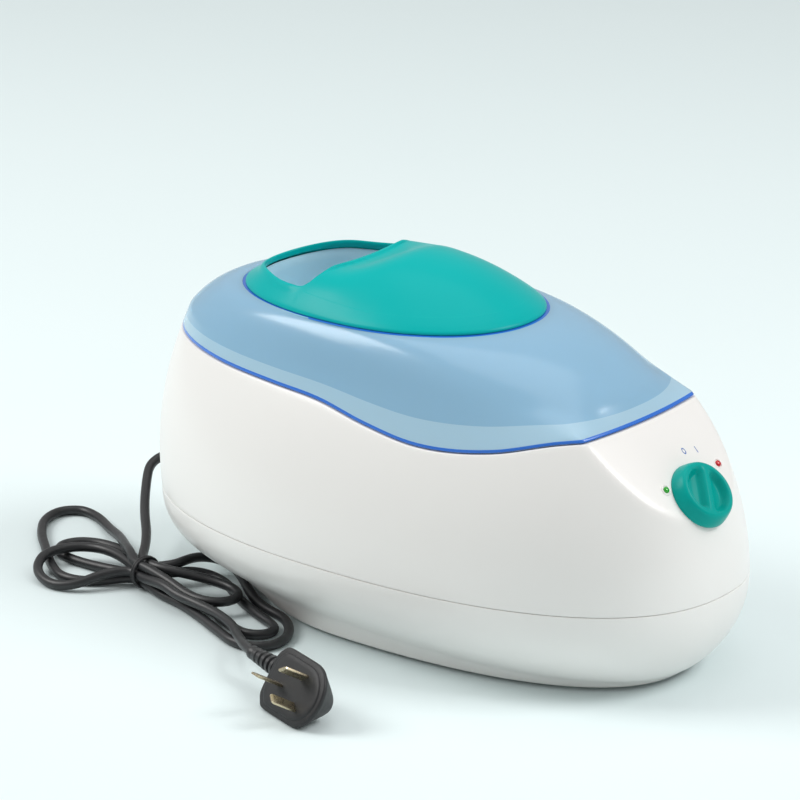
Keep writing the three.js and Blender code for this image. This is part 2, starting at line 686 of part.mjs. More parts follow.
// Like loft, for rings of any equal length.
function stack(rings) {
  const count = rings[0].length;
  const hubs = [rings[0], rings[rings.length - 1]].map((r) =>
    r.reduce((sum, p) => sum.add(p), new THREE.Vector3()).divideScalar(count),
  );
  const points = [...rings.flat(), ...hubs];
  const index = [];
  const [bottomHub, topHub] = [points.length - 2, points.length - 1];
  for (let i = 0; i < count; i++) {
    const j = (i + 1) % count;
    for (let r = 0; r < rings.length - 1; r++) {
      const [a, b] = [r * count, (r + 1) * count];
      index.push(a + i, a + j, b + j, a + i, b + j, b + i);
    }
    const top = (rings.length - 1) * count;
    index.push(bottomHub, j, i, topHub, top + i, top + j);
  }
  return new THREE.BufferGeometry()
    .setAttribute("position", new THREE.Float32BufferAttribute(points.flatMap((p) => [p.x, p.y, p.z]), 3))
    .setIndex(index);
}
function plugBody() {
  const d = PLUG.depth;
  const shell = stack([
    plugOutline(-11, -d), plugOutline(-9, -d + 0.8), plugOutline(-1, -3.5), plugOutline(0, -1.5),
    plugOutline(0, -0.4), plugOutline(-3, 0),
  ]);
  const slots = PINS.map((p) => pinSolid(p, 0.3, -7.5, 3));
  return onPlug(cut(shell, ...slots));
}
function pinSolid(p, grow, z0, z1) {
  const blade = block(-3.2 - grow, 3.2 + grow, -0.8 - grow, 0.8 + grow, z0, z1);
  return blade.rotateZ(p.turn).translate(p.x, p.y, 0);
}
function plugPin(p) {
  const blade = stack(
    [[-7, 1, 1], [p.length - 1.2, 1, 1], [p.length, 0.7, 0.5]].map(([z, across, thick]) =>
      [[-1, -1], [1, -1], [1, 1], [-1, 1]].map(
        ([u, v]) => new THREE.Vector3(3.2 * u * across, 0.8 * v * thick, z),
      ),
    ),
  );
  return onPlug(blade.rotateZ(p.turn).translate(p.x, p.y, 0));
}
function plugRelief() {
  const end = -PLUG.length / 2 + 1;
  const sleeve = turned([
    [CORD_RADIUS + GAP, -RELIEF_LENGTH], [4, -RELIEF_LENGTH], [6.2, -2], [6.2, 2.5], [CORD_RADIUS + GAP, 2.5],
    [CORD_RADIUS + GAP, -RELIEF_LENGTH],
  ], 20);
  return onPlug(sleeve.rotateY(Math.PI / 2).translate(end - 4.2, PLUG_ENTRY, -PLUG.depth / 2));
}
function gland() {
  const bore = CORD_RADIUS + 2 * GAP;
  const profile = [
    [bore, -22], [4.1, -22], [5.4, -5], [7.6, -4.4], [7.6, -2.2], [5.9, -2], [5.9, 3.4], [8, 3.8], [8, 6], [bore, 6],
    [bore, -22],
  ];
  return turned(profile, 24).rotateY(Math.PI / 2).translate(GLAND.x, GLAND.y, GLAND.z);
}

// ---------------------------------------------------------------- small fixed pieces
function band(egg, growIn, growOut, z0, z1) {
  const at = (grow, z) => eggRing({ ...egg, front: egg.front + grow, rear: egg.rear + grow, half: egg.half + grow }, z);
  return loft([at(growOut, z0), at(growOut, z1), at(growIn, z1), at(growIn, z0)], false);
}
function heatShield() {
  const plate = block(-88, 24, -34, 34, 19.4, 20.8);
  const legs = [[-86, -32], [-86, 32], [22, -32], [22, 32]].map(([x, y]) => block(x - 6, x + 6, y - 1, y + 1, 4.9, 20));
  const holes = STUDS.map(([x, y]) => upright(2.4, x, y, 15, 25, 12));
  return cut(join(plate, ...legs), ...holes);
}
function footPad(x, y) {
  return turned([
    [0, 0], [FOOT_RADIUS - 1, 0], [FOOT_RADIUS, 0.6], [FOOT_RADIUS - 0.4, 1.7], [FOOT_STEM, 1.7], [FOOT_STEM, 5],
    [FOOT_STEM + 0.7, 5.2], [FOOT_STEM - 0.6, 7.4], [0, 7.4],
  ], 20).translate(x, y, 0);
}
function housingScrew(t) {
  const seat = t.seat - 2;
  return turned([
    [0, seat - SCREW_HEAD], [SCREW_HEAD_RADIUS - 0.6, seat - SCREW_HEAD], [SCREW_HEAD_RADIUS, seat - 1],
    [SCREW_HEAD_RADIUS, seat - 0.2], [SCREW_RADIUS, seat - 0.2], [SCREW_RADIUS, seat + 15],
    [0, seat + 17],
  ], 16).translate(t.x, t.y, 0);
}
function lamp(l) {
  return turned([[0, -19], [2.2, -19], [2.7, -17.5], [2.7, -9.5], [1.6, -7.4], [0, -7.4]], 14).translate(l.x, l.y, 0);
}
function terminalBlock() {
  const body = block(96, 108, -16, 16, 4.9, 15);
  const pits = [-11, 0, 11].map((y) => upright(2.4, 102, y, 9, 20, 12));
  return cut(body, ...pits);
}
function cordClamp() {
  const saddle = block(-184, -176, GLAND.y - 10, GLAND.y + 10, GLAND.z - 4.4, GLAND.z + 5);
  const channel = rod(
    CORD_RADIUS + GAP, new THREE.Vector3(-190, GLAND.y, GLAND.z), new THREE.Vector3(-170, GLAND.y, GLAND.z), 16,
  );
  return cut(saddle, channel);
}

// ---------------------------------------------------------------- the assembly
add("lower_housing", lowerHousing(), WHITE);
add("upper_housing", upperHousing(), WHITE);
add("lid", lid(), BLUE);
add("handle_cap", handleCap(), TEAL);
add("wax_tank", tank(), ALUMINIUM);
add("mouth_seal", band(MOUTH, 0.8, TANK_FLANGE - 1, TANK_RIM_Z + GAP, MOUTH_Z - MOUTH_DEPTH - GAP), SILICONE);
add("protective_grid", grid(), WHITE);
add("heater_plate", underTank(-20, 26.7, 29.7), MICA);
add("insulation_pad", underTank(-22, 21.1, 26.4), FIBRE);
add("heat_shield", heatShield(), STEEL);
STUDS.forEach(([x, y], i) => add(`shield_nut_${i + 1}`, hexNut(3.6, 2.3, x, y, 16.2, 19.1), STEEL));
add("thermal_fuse", rod(3, new THREE.Vector3(76, -9, 66), new THREE.Vector3(76, 9, 66), 16), BRASS);

TOWERS.forEach((t, i) => add(`housing_screw_${i + 1}`, housingScrew(t), STEEL));
FEET.forEach(([x, y], i) => add(`foot_${i + 1}`, footPad(x, y), RUBBER));

add("thermostat", onPanel(thermostat()), BAKELITE);
add("thermostat_nut", onPanel(panelNut()), BRIGHT);
add("thermostat_shaft", onPanel(shaft()), BRIGHT);
add("knob", onPanel(knob()), TEAL);
LENSES.forEach((l) => {
  add(`${l.colour}_lens`, onPanel(lens(l).translate(l.x, l.y, 0)), l.material);
  add(`${l.colour}_lamp`, onPanel(lamp(l)), BRIGHT);
});

add("terminal_block", terminalBlock(), BAKELITE);
add("cord_clamp", cordClamp(), BLACK);
add("cord_gland", gland(), BLACK);
add(
  "supply_lead",
  lead([
    [-187, GLAND.y, GLAND.z], [-172, GLAND.y, GLAND.z], [-158, -6, 40], [-142, -26, 30], [-126, -44, 20], [-100, -56, 12],
    [-60, -62, 10], [0, -62, 10], [50, -56, 10], [78, -38, 10], [91, -20, 10], [92.7, -8, 10],
  ], 2.5),
  BLACK,
);
add("heater_lead", lead([[109, 6, 10], [116, 12, 18], [108, 14, 34], [92, 8, 34], [64, 0, 29], [55.9, 0, 28.4]], 1.3), RED);
add("thermostat_lead", lead([[109, -8, 10], [122, -10, 20], [132, -8, 45], [138, 0, 70], [147.5, 0, 88]], 1.3), BLACK);

add("mains_cord_drop", cordTube(DROP_ROUTE), BLACK);
add("mains_cord_bundle", cordBundle(), BLACK);
add("mains_cord_tail", cordTube(TAIL_ROUTE), BLACK);
add("twist_tie", twistTie(), BLACK);
add("plug_strain_relief", plugRelief(), BLACK);
add("plug_body", plugBody(), BLACK);
PINS.forEach((p) => add(p.name, plugPin(p), BRASS));

export default root;
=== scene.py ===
"""A salon paraffin wax bath with its lid on and its mains lead tied in a loose bundle beside it."""

import math

import bpy
import numpy as np
from mathutils import Matrix, Vector


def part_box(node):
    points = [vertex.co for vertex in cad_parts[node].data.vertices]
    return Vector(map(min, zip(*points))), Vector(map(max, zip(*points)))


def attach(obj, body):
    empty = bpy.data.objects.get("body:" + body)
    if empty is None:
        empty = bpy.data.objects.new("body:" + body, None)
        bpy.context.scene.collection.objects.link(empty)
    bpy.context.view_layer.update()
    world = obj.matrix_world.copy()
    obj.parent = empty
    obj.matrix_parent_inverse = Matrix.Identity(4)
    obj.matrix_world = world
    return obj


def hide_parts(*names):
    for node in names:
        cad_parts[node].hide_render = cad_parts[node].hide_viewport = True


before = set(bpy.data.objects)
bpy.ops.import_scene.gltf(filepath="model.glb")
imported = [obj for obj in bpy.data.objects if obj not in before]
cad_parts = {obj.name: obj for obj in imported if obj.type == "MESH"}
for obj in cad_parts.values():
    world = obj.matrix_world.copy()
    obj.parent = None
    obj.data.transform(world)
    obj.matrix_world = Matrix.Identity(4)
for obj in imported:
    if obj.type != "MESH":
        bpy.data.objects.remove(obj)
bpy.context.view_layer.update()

# ---------------------------------------------------------------- driving dimensions, in millimetres
MM = 0.001
DATUM_X = 4.15  # the body's own datum in the part's frame
TURN = 2 * math.pi
STEPS = 224  # points round an egg-shaped section
WALL = 2.5
SEAM_GAP = 0.3

WIDEST_X = -15.2
FRONT_REACH = 204.1
REAR_REACH = 180.9
HALF_WIDTH = 108.1
PLAN_POWER = 2.3

BASE_Z = 2
SEAM_Z = 56
SHOULDER_Z = 150
CREASE_REAR_Z = 24
CREASE_FRONT_Z = 6
HALF_LENGTH = 190

SHOULDER_INSET = {"front": 27.2, "rear": 6.7, "side": 27.9}
WALL_BULGE = 6.2
CREASE_INSET = {"front": 21.7, "rear": 6, "side": 24.7}
CREASE_POWER = 2.3
PLINTH_INSET = {"front": 7.5, "rear": 69.9, "side": 5.2}
PLINTH_POWER = 0.6

PANEL = {"x": 173, "z": 112.7, "tilt": 0.731, "crown_up": 392, "crown_across": 330}
PANEL_EDGE = 0.9  # how far the panel's edge is rounded into the body

# The lid's lower edge, as (x, height).
LID_LINE = [
    (-196, 148.5), (-175, 147.7), (-120, 146.4), (-70, 145.9), (-35, 144.6),
    (0, 139), (40, 134.6), (85, 138.3), (120, 146.5), (150, 149.7), (196, 150),
]
LID_GAP = 0.8
LIP_STEP = 3.4
LIP_HEIGHT = 10.5
LIP_FRONT_HEIGHT = 3.5
LIP_WIDTH = 6
LIP_LEAN = 1.7

LID_WALL = 2.4
LID_LINE_TOP = 1.8  # top of the painted deep-blue edge refraction along the lid's lower edge
SKIRT_BANDS = 5  # how many rings of the skirt are painted paler, as painted light from the white lip behind them
CAP_LINE_WIDTH = 1.9  # the painted deep-blue edge refraction round the cap
FOLD = {"x": WIDEST_X, "front": 140, "rear": 168.5, "half": 76, "power": 2.4, "z": 161.5, "slope": 0}
CAP_RIM = {"x": -37.7, "front": 89, "rear": 107, "half": 62, "power": 2.12, "z": 186, "slope": 0.03}
DOME_BULGE = 5.5
SHELF_DROP = 2.4  # the shelf in the lid that the cap's skirt stands on
RECESS_DEPTH = 24
RECESS_INSET = 12
CAP_CROWN = 29.2
CAP_REAR_FALL = 17
CAP_REAR_SPAN = (105, 150)  # how far back the crown falls away
CAP_DIP = 11.5
CAP_DIP_SPAN = (22, 64)
CAP_FLATTER = ((20, 70), (90, 130))  # the two stretches over which the section gets squarer
CAP_EDGE = 1.6
CAP_WALL = 2.6
FINGER_EDGE_X = -70
FINGER_BOW = 5  # how far the opening's front edge bows forward
FINGER_SHARE = 0.885
FINGER_ROUND = 0.08  # how bluntly the ends of the opening are rounded, as a share
CAP_STEPS = 480
# The bead along the opening, as (mm back from the edge, mm of drop below the cap's surface).
CAP_BEAD = [
    (7.0, 0.0), (4.4, -0.1), (3.5, -0.8), (2.4, -1.3), (1.2, -1.25), (0.5, -0.85), (0.12, -0.2), (0.0, 0.6),
]
RIM_BEAD_REACH = 5.4
RIM_BEAD_LIMIT = 0.985  # the share of the way to the rim that the bead stays inside

MOUTH = {"x": -32, "front": 106, "rear": 106, "half": 64, "power": 2.6, "slope": 0}
MOUTH_Z = 132
MOUTH_DEPTH = 5.5

KNOB_RADIUS = 19.8
KNOB_HEIGHT = 8.8
KNOB_RIM = 4.6  # how far in the scoops reach their rim
KNOB_SCOOP = 4.8
KNOB_BAR = (0.9, 5.5)  # where the finger bar's flanks begin and end, from the knob's middle
KNOB_FACE_EDGE = 3.8  # how far inside the radius the face ends and the side begins
KNOB_TURN = -0.54  # the finger bar points between the 0 and the I
# The knob's side, as (mm in from its radius, mm down from its face's rim).
KNOB_SIDE = [
    (3.2, 0.2), (2.7, 0.55), (2.2, 1.2), (1.7, 2.4), (1.0, 4.4), (0.3, 7.0), (0.0, 8.6), (0.25, 9.4),
    (0.8, 9.9),
]

# Places on the panel, as (across, up) from the knob's axis.
GREEN_LENS = (-21, 11)
RED_LENS = (30, 12.5)
MARK_OFF = (10, 27)
MARK_ON = (20.3, 25)
PRINT_LIFTS = (0.03, 0.1)  # the print's underside and top, above the panel

CORD_RADIUS = 2.9
CORD_STEP = 2.0
GLAND = (-194, 6, 45)
DROP_ROUTE = [
    (-190, 6, 45), (-204, 6, 45), (-217.5, 6, 45), (-224.5, 3, 44.4), (-228, -3, 43),
    (-227.8, -10.5, 40.5), (-223.5, -18, 37.5), (-217, -27, 33), (-209, -37, 29), (-200, -47, 24.5),
    (-190, -57, 20.5), (-181, -68, 17.5),
]
# The loops on either side of the tie, in the order the lead runs through them.
SHORT_LOOP = [
    (-147, -84, 14.4), (-134, -78, 12.5), (-121, -73.5, 10.5), (-108, -73, 9.4), (-99, -78.5, 9),
    (-96.8, -86.5, 9), (-101.5, -94.5, 9), (-111, -98, 9.2), (-124, -97, 9.8), (-138, -94, 12),
]
BIG_LEFT_LOOP = [
    (-181, -81, 16), (-197, -68, 13.2), (-216, -52, 9), (-238, -37, 4.8), (-260, -24, 3), (-275, -21.5, 3),
    (-284, -31, 3), (-281.5, -47, 3), (-268, -65, 3), (-249, -82, 3), (-229, -99, 3), (-211, -109.5, 3),
    (-198, -108.5, 3), (-187.5, -101, 3.2), (-179.5, -92.5, 3.8),
]
BIG_RIGHT_LOOP = [
    (-146, -94.5, 3.2), (-127, -98.5, 3), (-105, -106.5, 3), (-83, -116, 3), (-65, -123, 3), (-52, -122, 3),
    (-43.5, -112, 3), (-45, -99.5, 3), (-54, -86.5, 3), (-66, -77.5, 3), (-80, -73.5, 3), (-93, -68.5, 3),
    (-108, -58.5, 3.2), (-122, -48.5, 4.6), (-135, -42, 7.2), (-146, -43.5, 9.8), (-151.5, -51.5, 12),
    (-152.5, -62, 13.6), (-154, -72, 13),
]
INNER_LEFT_LOOP = [
    (-184, -72.5, 8), (-198, -63, 6), (-214, -56.5, 3.6), (-230, -56, 3), (-241.5, -62.5, 3),
    (-244.5, -73, 3), (-238, -82, 3), (-224, -85.5, 3), (-206, -85.5, 3.2), (-188, -84, 4),
]
INNER_RIGHT_LOOP = [
    (-148, -86.5, 4.4), (-133, -86, 3.4), (-115, -90, 3), (-98, -98, 3), (-85, -104.5, 3), (-74, -108.5, 3),
    (-64.5, -109, 3), (-57.5, -103.5, 3), (-57, -96, 3), (-64, -89.5, 3), (-77, -84.5, 3), (-87, -80, 3),
    (-98, -75, 3), (-112, -67, 3), (-127, -58, 3.6), (-140, -58.5, 6), (-148, -67, 8.5), (-153, -77, 9.2),
]
FRONT_LEFT_LOOP = [
    (-184, -80.5, 10), (-198, -76, 10), (-212, -74.5, 9.5), (-224, -79, 9), (-231, -90, 9),
    (-231.5, -103, 8.6), (-226, -114, 6), (-215, -121, 3.6), (-202, -122.5, 3.2), (-191.5, -117, 5),
    (-185, -107.5, 8.2),
    (-179.5, -98, 9.5),
]
TAIL_ROUTE = [
    (-148, -98, 11.4), (-137, -101, 12.5), (-125, -104, 11), (-108, -105, 9.6), (-89, -109, 9.5),
    (-71, -117, 9.5), (-58, -127.5, 10.5), (-47, -137, 13), (-37, -146, 15.8), (-24.8, -152.8, 16.6),
]
NECK = {"x": -164, "y": -87, "z": 9.9, "heading": -0.25, "spacing": 6, "reach": 7}
# Where each of the seven runs sits in the tied neck, as (across, up) in units of the spacing.
NECK_ROW = math.sqrt(3) / 2
NECK_SLOTS = {
    "low_near": (-0.5, -NECK_ROW), "low_far": (0.5, -NECK_ROW), "mid_near": (-1, 0), "middle": (0, 0),
    "mid_far": (1, 0), "top_near": (-0.5, NECK_ROW), "top_far": (0.5, NECK_ROW),
}
PLUG = {
    "x": 29, "y": -181, "z": 17.7, "length": 54, "width": 38, "depth": 18, "lean": 0.54, "heading": -0.32,
}
PLUG_ENTRY = 4
PLUG_CORNER = 7
PLUG_CHAMFER = 6
PLUG_NOSE = 17
# Each pin as (along, across, turn, length).
PINS = {
    "plug_pin_live": (6, 8.5, 0.6, 18),
    "plug_pin_neutral": (9, -8.5, -0.6, 18),
    "plug_pin_earth": (-12, -2, 0, 20),
}

CAMERA = {"lens": 231.9, "sensor": 36, "azimuth": 39.1, "elevation": 19.6, "distance": 2.9891}
CAMERA_AIM = (-41.75, 0, 121.07)
# Each light as (name, place, aim, size, watts, colour), in metres.
LIGHTS = (
    ("key", (-1.6, -1.0, 1.7), (-0.1, 0, 0.1), 1.2, 33, (1, 0.995, 0.98)),
    ("panel", (1.5, 0.7, 1.7), (0.1, 0, 0.1), 1.0, 25, (1, 1, 1)),
    ("top", (-0.2, 0.3, 2.2), (0, 0, 0.1), 1.6, 9, (1, 1, 1)),
)
SKY_COLOUR = (0.99, 0.985, 0.975)
SKY_STRENGTH = 0.42
FLOOR_REACH = 8


# ---------------------------------------------------------------- camera
def add_camera():
    data = bpy.data.cameras.new("camera")
    data.lens = CAMERA["lens"]
    data.sensor_width = CAMERA["sensor"]
    azimuth, elevation = math.radians(CAMERA["azimuth"]), math.radians(CAMERA["elevation"])
    target = Vector(((CAMERA_AIM[0] + DATUM_X) * MM, CAMERA_AIM[1], CAMERA_AIM[2] * MM))
    away = Vector((
        math.sin(azimuth) * math.cos(elevation),
        -math.cos(azimuth) * math.cos(elevation),
        math.sin(elevation),
    ))
    camera = bpy.data.objects.new("camera", data)
    camera.location = target + away * CAMERA["distance"]
    camera.rotation_euler = away.to_track_quat("Z", "Y").to_euler()
    data.clip_end = 20
    bpy.context.scene.collection.objects.link(camera)
    bpy.context.scene.camera = camera


# ---------------------------------------------------------------- materials
def material(name, base, roughness=0.4, metallic=0.0, **sockets):
    """A Principled material; sockets are further inputs by name, with _ for a space."""
    m = bpy.data.materials.new(name)
    m.use_nodes = True
    shader = m.node_tree.nodes["Principled BSDF"]
    shader.inputs["Base Color"].default_value = (*base, 1)
    shader.inputs["Roughness"].default_value = roughness
    shader.inputs["Metallic"].default_value = metallic
    for key, value in sockets.items():
        shader.inputs[key.replace("_", " ")].default_value = value
    return m


def noise(m, scale, detail=3.0):
    """Noise in the object's own coordinates, in cycles per metre; returns its value output."""
    nodes, links = m.node_tree.nodes, m.node_tree.links
    place = nodes.new("ShaderNodeTexCoord")
    n = nodes.new("ShaderNodeTexNoise")
    n.inputs["Scale"].default_value = scale
    n.inputs["Detail"].default_value = detail
    links.new(place.outputs["Object"], n.inputs["Vector"])
    return n.outputs["Fac"]


def ramp(m, value, low, high):
    """Maps a 0..1 value to low..high."""
    nodes, links = m.node_tree.nodes, m.node_tree.links
    r = nodes.new("ShaderNodeMapRange")
    r.inputs["To Min"].default_value = low
    r.inputs["To Max"].default_value = high
    links.new(value, r.inputs["Value"])
    return r.outputs["Result"]


def shader_of(m):
    return m.node_tree.nodes["Principled BSDF"]


def vary_roughness(m, scale, low, high):
    """Patches of slightly different gloss, from low to high."""
    m.node_tree.links.new(ramp(m, noise(m, scale), low, high), shader_of(m).inputs["Roughness"])


def vary_colour(m, scale, first, second, detail=2.0):
    """Soft patches of two near colours in place of the base colour."""
    nodes, links = m.node_tree.nodes, m.node_tree.links
    mix = nodes.new("ShaderNodeMix")
    mix.data_type = "RGBA"
    mix.inputs["A"].default_value = (*first, 1)
    mix.inputs["B"].default_value = (*second, 1)
    links.new(noise(m, scale, detail), mix.inputs["Factor"])
    links.new(mix.outputs["Result"], shader_of(m).inputs["Base Color"])


def add_bump(m, scale, distance, strength=1.0, detail=3.0):
    """A moulded grain, distance metres deep."""
    nodes, links = m.node_tree.nodes, m.node_tree.links
    bump = nodes.new("ShaderNodeBump")
    bump.inputs["Strength"].default_value = strength
    bump.inputs["Distance"].default_value = distance
    links.new(noise(m, scale, detail), bump.inputs["Height"])
    links.new(bump.outputs["Normal"], shader_of(m).inputs["Normal"])


def housing_plastic():
    m = material("housing_white", (0.87, 0.865, 0.845), 0.3, Coat_Weight=0.15, Coat_Roughness=0.12)
    vary_colour(m, 14, (0.89, 0.87, 0.845), (0.87, 0.85, 0.826))
    vary_roughness(m, 60, 0.26, 0.36)
    add_bump(m, 900, 0.00003, 0.4)
    return m


def teal_plastic(name, first, second, roughness):
    m = material(name, first, roughness, Specular_IOR_Level=0.12)
    vary_colour(m, 20, first, second)
    vary_roughness(m, 70, roughness - 0.04, roughness + 0.07)
    add_bump(m, 1400, 0.00001, 0.2)
    return m


def lid_plastic():
    m = material("lid_clear_blue", (0.40, 0.66, 0.86), 0.22, Transmission_Weight=0.35, IOR=1.4,
                 Coat_Weight=0.3, Coat_Roughness=0.12)
    vary_colour(m, 9, (0.36, 0.64, 0.86), (0.4, 0.68, 0.9))
    add_bump(m, 700, 0.00002, 0.2)
    return m


def lid_skirt_plastic():
    """The lid's lower edge, painted paler: painted light from the white lip showing through it, and a painted
    highlight.
    """
    m = material("lid_skirt_painted_light", (0.52, 0.76, 0.9), 0.22, Transmission_Weight=0.35, IOR=1.4,
                 Coat_Weight=0.3, Coat_Roughness=0.12)
    vary_colour(m, 9, (0.54, 0.81, 0.98), (0.59, 0.85, 1.0))
    return m


def lid_pocket_plastic():
    """The frosted finger pocket, painted paler than the rest of the lid: painted light that lifts the shade it
    sits in.
    """
    m = material("lid_pocket_frosted_painted_light", (0.6, 0.82, 0.95), 0.4, Transmission_Weight=0.15, IOR=1.4)
    vary_colour(m, 30, (0.52, 0.82, 0.97), (0.58, 0.86, 1.0))
    vary_roughness(m, 60, 0.35, 0.48)
    return m


def lid_edge_plastic():
    """The same plastic painted deep blue where it is seen along its edge: painted edge-on refraction, for the
    light it gathers there.
    """
    m = material("lid_edge_painted_refraction", (0.02, 0.15, 0.64), 0.2, Coat_Weight=0.3, Coat_Roughness=0.08)
    vary_colour(m, 60, (0.018, 0.14, 0.6), (0.03, 0.18, 0.7))
    vary_roughness(m, 80, 0.16, 0.26)
    return m


def cord_rubber():
    m = material("cord_black_pvc", (0.014, 0.015, 0.017), 0.42, Coat_Weight=0.15, Coat_Roughness=0.3)
    vary_colour(m, 90, (0.012, 0.013, 0.015), (0.018, 0.019, 0.021))
    vary_roughness(m, 220, 0.36, 0.52)
    add_bump(m, 1600, 0.00005, 0.5)
    return m


def plug_plastic():
    m = material("plug_black_pvc", (0.011, 0.011, 0.013), 0.5)
    vary_colour(m, 70, (0.010, 0.011, 0.012), (0.015, 0.015, 0.017))
    vary_roughness(m, 300, 0.42, 0.6)
    add_bump(m, 2600, 0.00008, 0.6)
    return m


def metal(name, base, low, high):
    m = material(name, base, low, 1.0)
    vary_roughness(m, 300, low, high)
    vary_colour(m, 40, base, tuple(0.86 * c for c in base))
    add_bump(m, 2200, 0.00002, 0.4)
    return m


def plain(name, base, low, high, scale=200, bump=0.00003):
    """A matt material: its roughness runs from low to high, and bump is its grain's depth in metres."""
    m = material(name, base, low)
    vary_roughness(m, scale, low, high)
    vary_colour(m, 60, base, tuple(0.88 * c for c in base))
    add_bump(m, 1500, bump, 0.5)
    return m


def lens_plastic(name, base):
    m = material(name, base, 0.15, Transmission_Weight=0.1, IOR=1.49, Coat_Weight=0.5, Coat_Roughness=0.03)
    vary_colour(m, 800, base, tuple(0.8 * c for c in base))
    return m


# ---------------------------------------------------------------- sections and lofts, in millimetres
ANGLES = np.arange(STEPS) * TURN / STEPS


def power(value, exponent):
    """A power that keeps the sign."""
    return np.sign(value) * np.abs(value) ** exponent


def smoothstep(x, low, high):
    t = np.clip((x - low) / (high - low), 0, 1)
    return t * t * (3 - 2 * t)


def egg_xy(egg, grow=0.0, angles=ANGLES):
    c = power(np.cos(angles), 2 / egg["power"])
    s = power(np.sin(angles), 2 / egg["power"])
    reach = np.where(c >= 0, egg["front"], egg["rear"]) + grow
    return egg["x"] + reach * c, (egg["half"] + grow) * s


def egg_ring(egg, z, grow=0.0):
    """An egg shape at a height, which rises along the body by its slope."""
    x, y = egg_xy(egg, grow)
    return np.stack([x, y, z + egg.get("slope", 0) * x], axis=1)


def lid_line(x):
    """The height at which the lid meets the body: a smooth curve through LID_LINE."""
    stations = np.array([p[0] for p in LID_LINE], float)
    heights = np.array([p[1] for p in LID_LINE], float)
    i = np.clip(np.searchsorted(stations, x, side="right") - 1, 0, len(LID_LINE) - 2)
    t = np.clip((x - stations[i]) / (stations[i + 1] - stations[i]), 0, 1)
    slopes = np.gradient(heights, stations)
    width = stations[i + 1] - stations[i]
    a, b = heights[i], heights[i + 1]
    ma, mb = slopes[i] * width, slopes[i + 1] * width
    ends = a * (1 + 2 * t) * (1 - t) ** 2 + b * t * t * (3 - 2 * t)
    return ends + ma * t * (1 - t) ** 2 + mb * t * t * (t - 1)


def lip_top(x):
    """The top of the lip inside the lid, lower towards the front."""
    return lid_line(x) + LIP_HEIGHT + (LIP_FRONT_HEIGHT - LIP_HEIGHT) * smoothstep(x, 50, 115)


def crease_z(x):
    share = (np.clip(x, -HALF_LENGTH, HALF_LENGTH) + HALF_LENGTH) / (2 * HALF_LENGTH)
    return CREASE_REAR_Z + (CREASE_FRONT_Z - CREASE_REAR_Z) * share


def inset(side, z, crease):
    """How far the skin lies inside the widest section at a height."""
    s = (z - SEAM_Z) / (SHOULDER_Z - SEAM_Z)
    upper = s * SHOULDER_INSET[side] - 4 * WALL_BULGE * s * (1 - s)
    down = np.clip((SEAM_Z - z) / (SEAM_Z - crease), 0, 1)
    below = np.clip((crease - z) / (crease - BASE_Z), 0, None)
    lower = CREASE_INSET[side] * down**CREASE_POWER + PLINTH_INSET[side] * below**PLINTH_POWER
    return np.where(z >= SEAM_Z, upper, lower)


def panel_x(y, z):
    up = (z - PANEL["z"]) / math.cos(PANEL["tilt"])
    crown = y * y / (2 * PANEL["crown_across"]) + up * up / (2 * PANEL["crown_up"])
    return PANEL["x"] - math.tan(PANEL["tilt"]) * (z - PANEL["z"]) - crown / math.cos(PANEL["tilt"])


def soft_min(a, b, width):
    h = np.clip(0.5 + 0.5 * (b - a) / width, 0, 1)
    return b + (a - b) * h - width * h * (1 - h)


def body_ring(height, depth=0.0):
    """A section of the body, depth mm under its skin; height is a number or a function of x."""
    at = height if callable(height) else (lambda x: np.full_like(x, float(height)))
    x = WIDEST_X + FRONT_REACH * np.cos(ANGLES)
    for _ in range(6):
        z = at(x)
        crease = crease_z(x)
        c = power(np.cos(ANGLES), 2 / PLAN_POWER)
        s = power(np.sin(ANGLES), 2 / PLAN_POWER)
        front = FRONT_REACH - inset("front", z, crease) - depth
        rear = REAR_REACH - inset("rear", z, crease) - depth
        y = (HALF_WIDTH - inset("side", z, crease) - depth) * s
        egg = WIDEST_X + np.where(c >= 0, front, rear) * c
        x = soft_min(egg, panel_x(y, z) - depth / math.cos(PANEL["tilt"]), PANEL_EDGE)
    return np.stack([x, y, z], axis=1)


def mix(a, b, share, lift=0.0):
    """A ring part of the way from a to b, lifted most half way."""
    ring = a + (b - a) * share
    ring[:, 2] += lift * 4 * share * (1 - share)
    return ring


def between(a, b, count, lift=0.0):
    """count rings strictly between a and b."""
    return [mix(a, b, (i + 1) / (count + 1), lift) for i in range(count)]


def smoothed(rings, passes, first=1, last=-1):
    """Rings eased towards their neighbours, which rounds a fold between them."""
    rings = [r.copy() for r in rings]
    stop = len(rings) + last if last < 0 else last
    for _ in range(passes):
        old = [r.copy() for r in rings]
        for i in range(first, stop):
            rings[i] = 0.25 * old[i - 1] + 0.5 * old[i] + 0.25 * old[i + 1]
    return rings


def loft(name, rings, closed_by, mat, sharp=0.6, place=None):
    """A mesh through rings of equal length, closed by "caps" or, last ring to first, as a "loop"."""
    count = len(rings[0])
    points = np.concatenate(rings)
    spans = len(rings) if closed_by == "loop" else len(rings) - 1
    faces = []
    for r in range(spans):
        a, b = r * count, ((r + 1) % len(rings)) * count
        for i in range(count):
            j = (i + 1) % count
            faces.append((a + i, a + j, b + j, b + i))
    if closed_by == "caps":
        points = np.concatenate([points, [rings[0].mean(axis=0)], [rings[-1].mean(axis=0)]])
        low, high = len(points) - 2, len(points) - 1
        top = (len(rings) - 1) * count
        for i in range(count):
            j = (i + 1) % count
            faces.append((low, j, i))
            faces.append((high, top + i, top + j))
    return mesh_object(name, points, faces, mat, sharp, place)


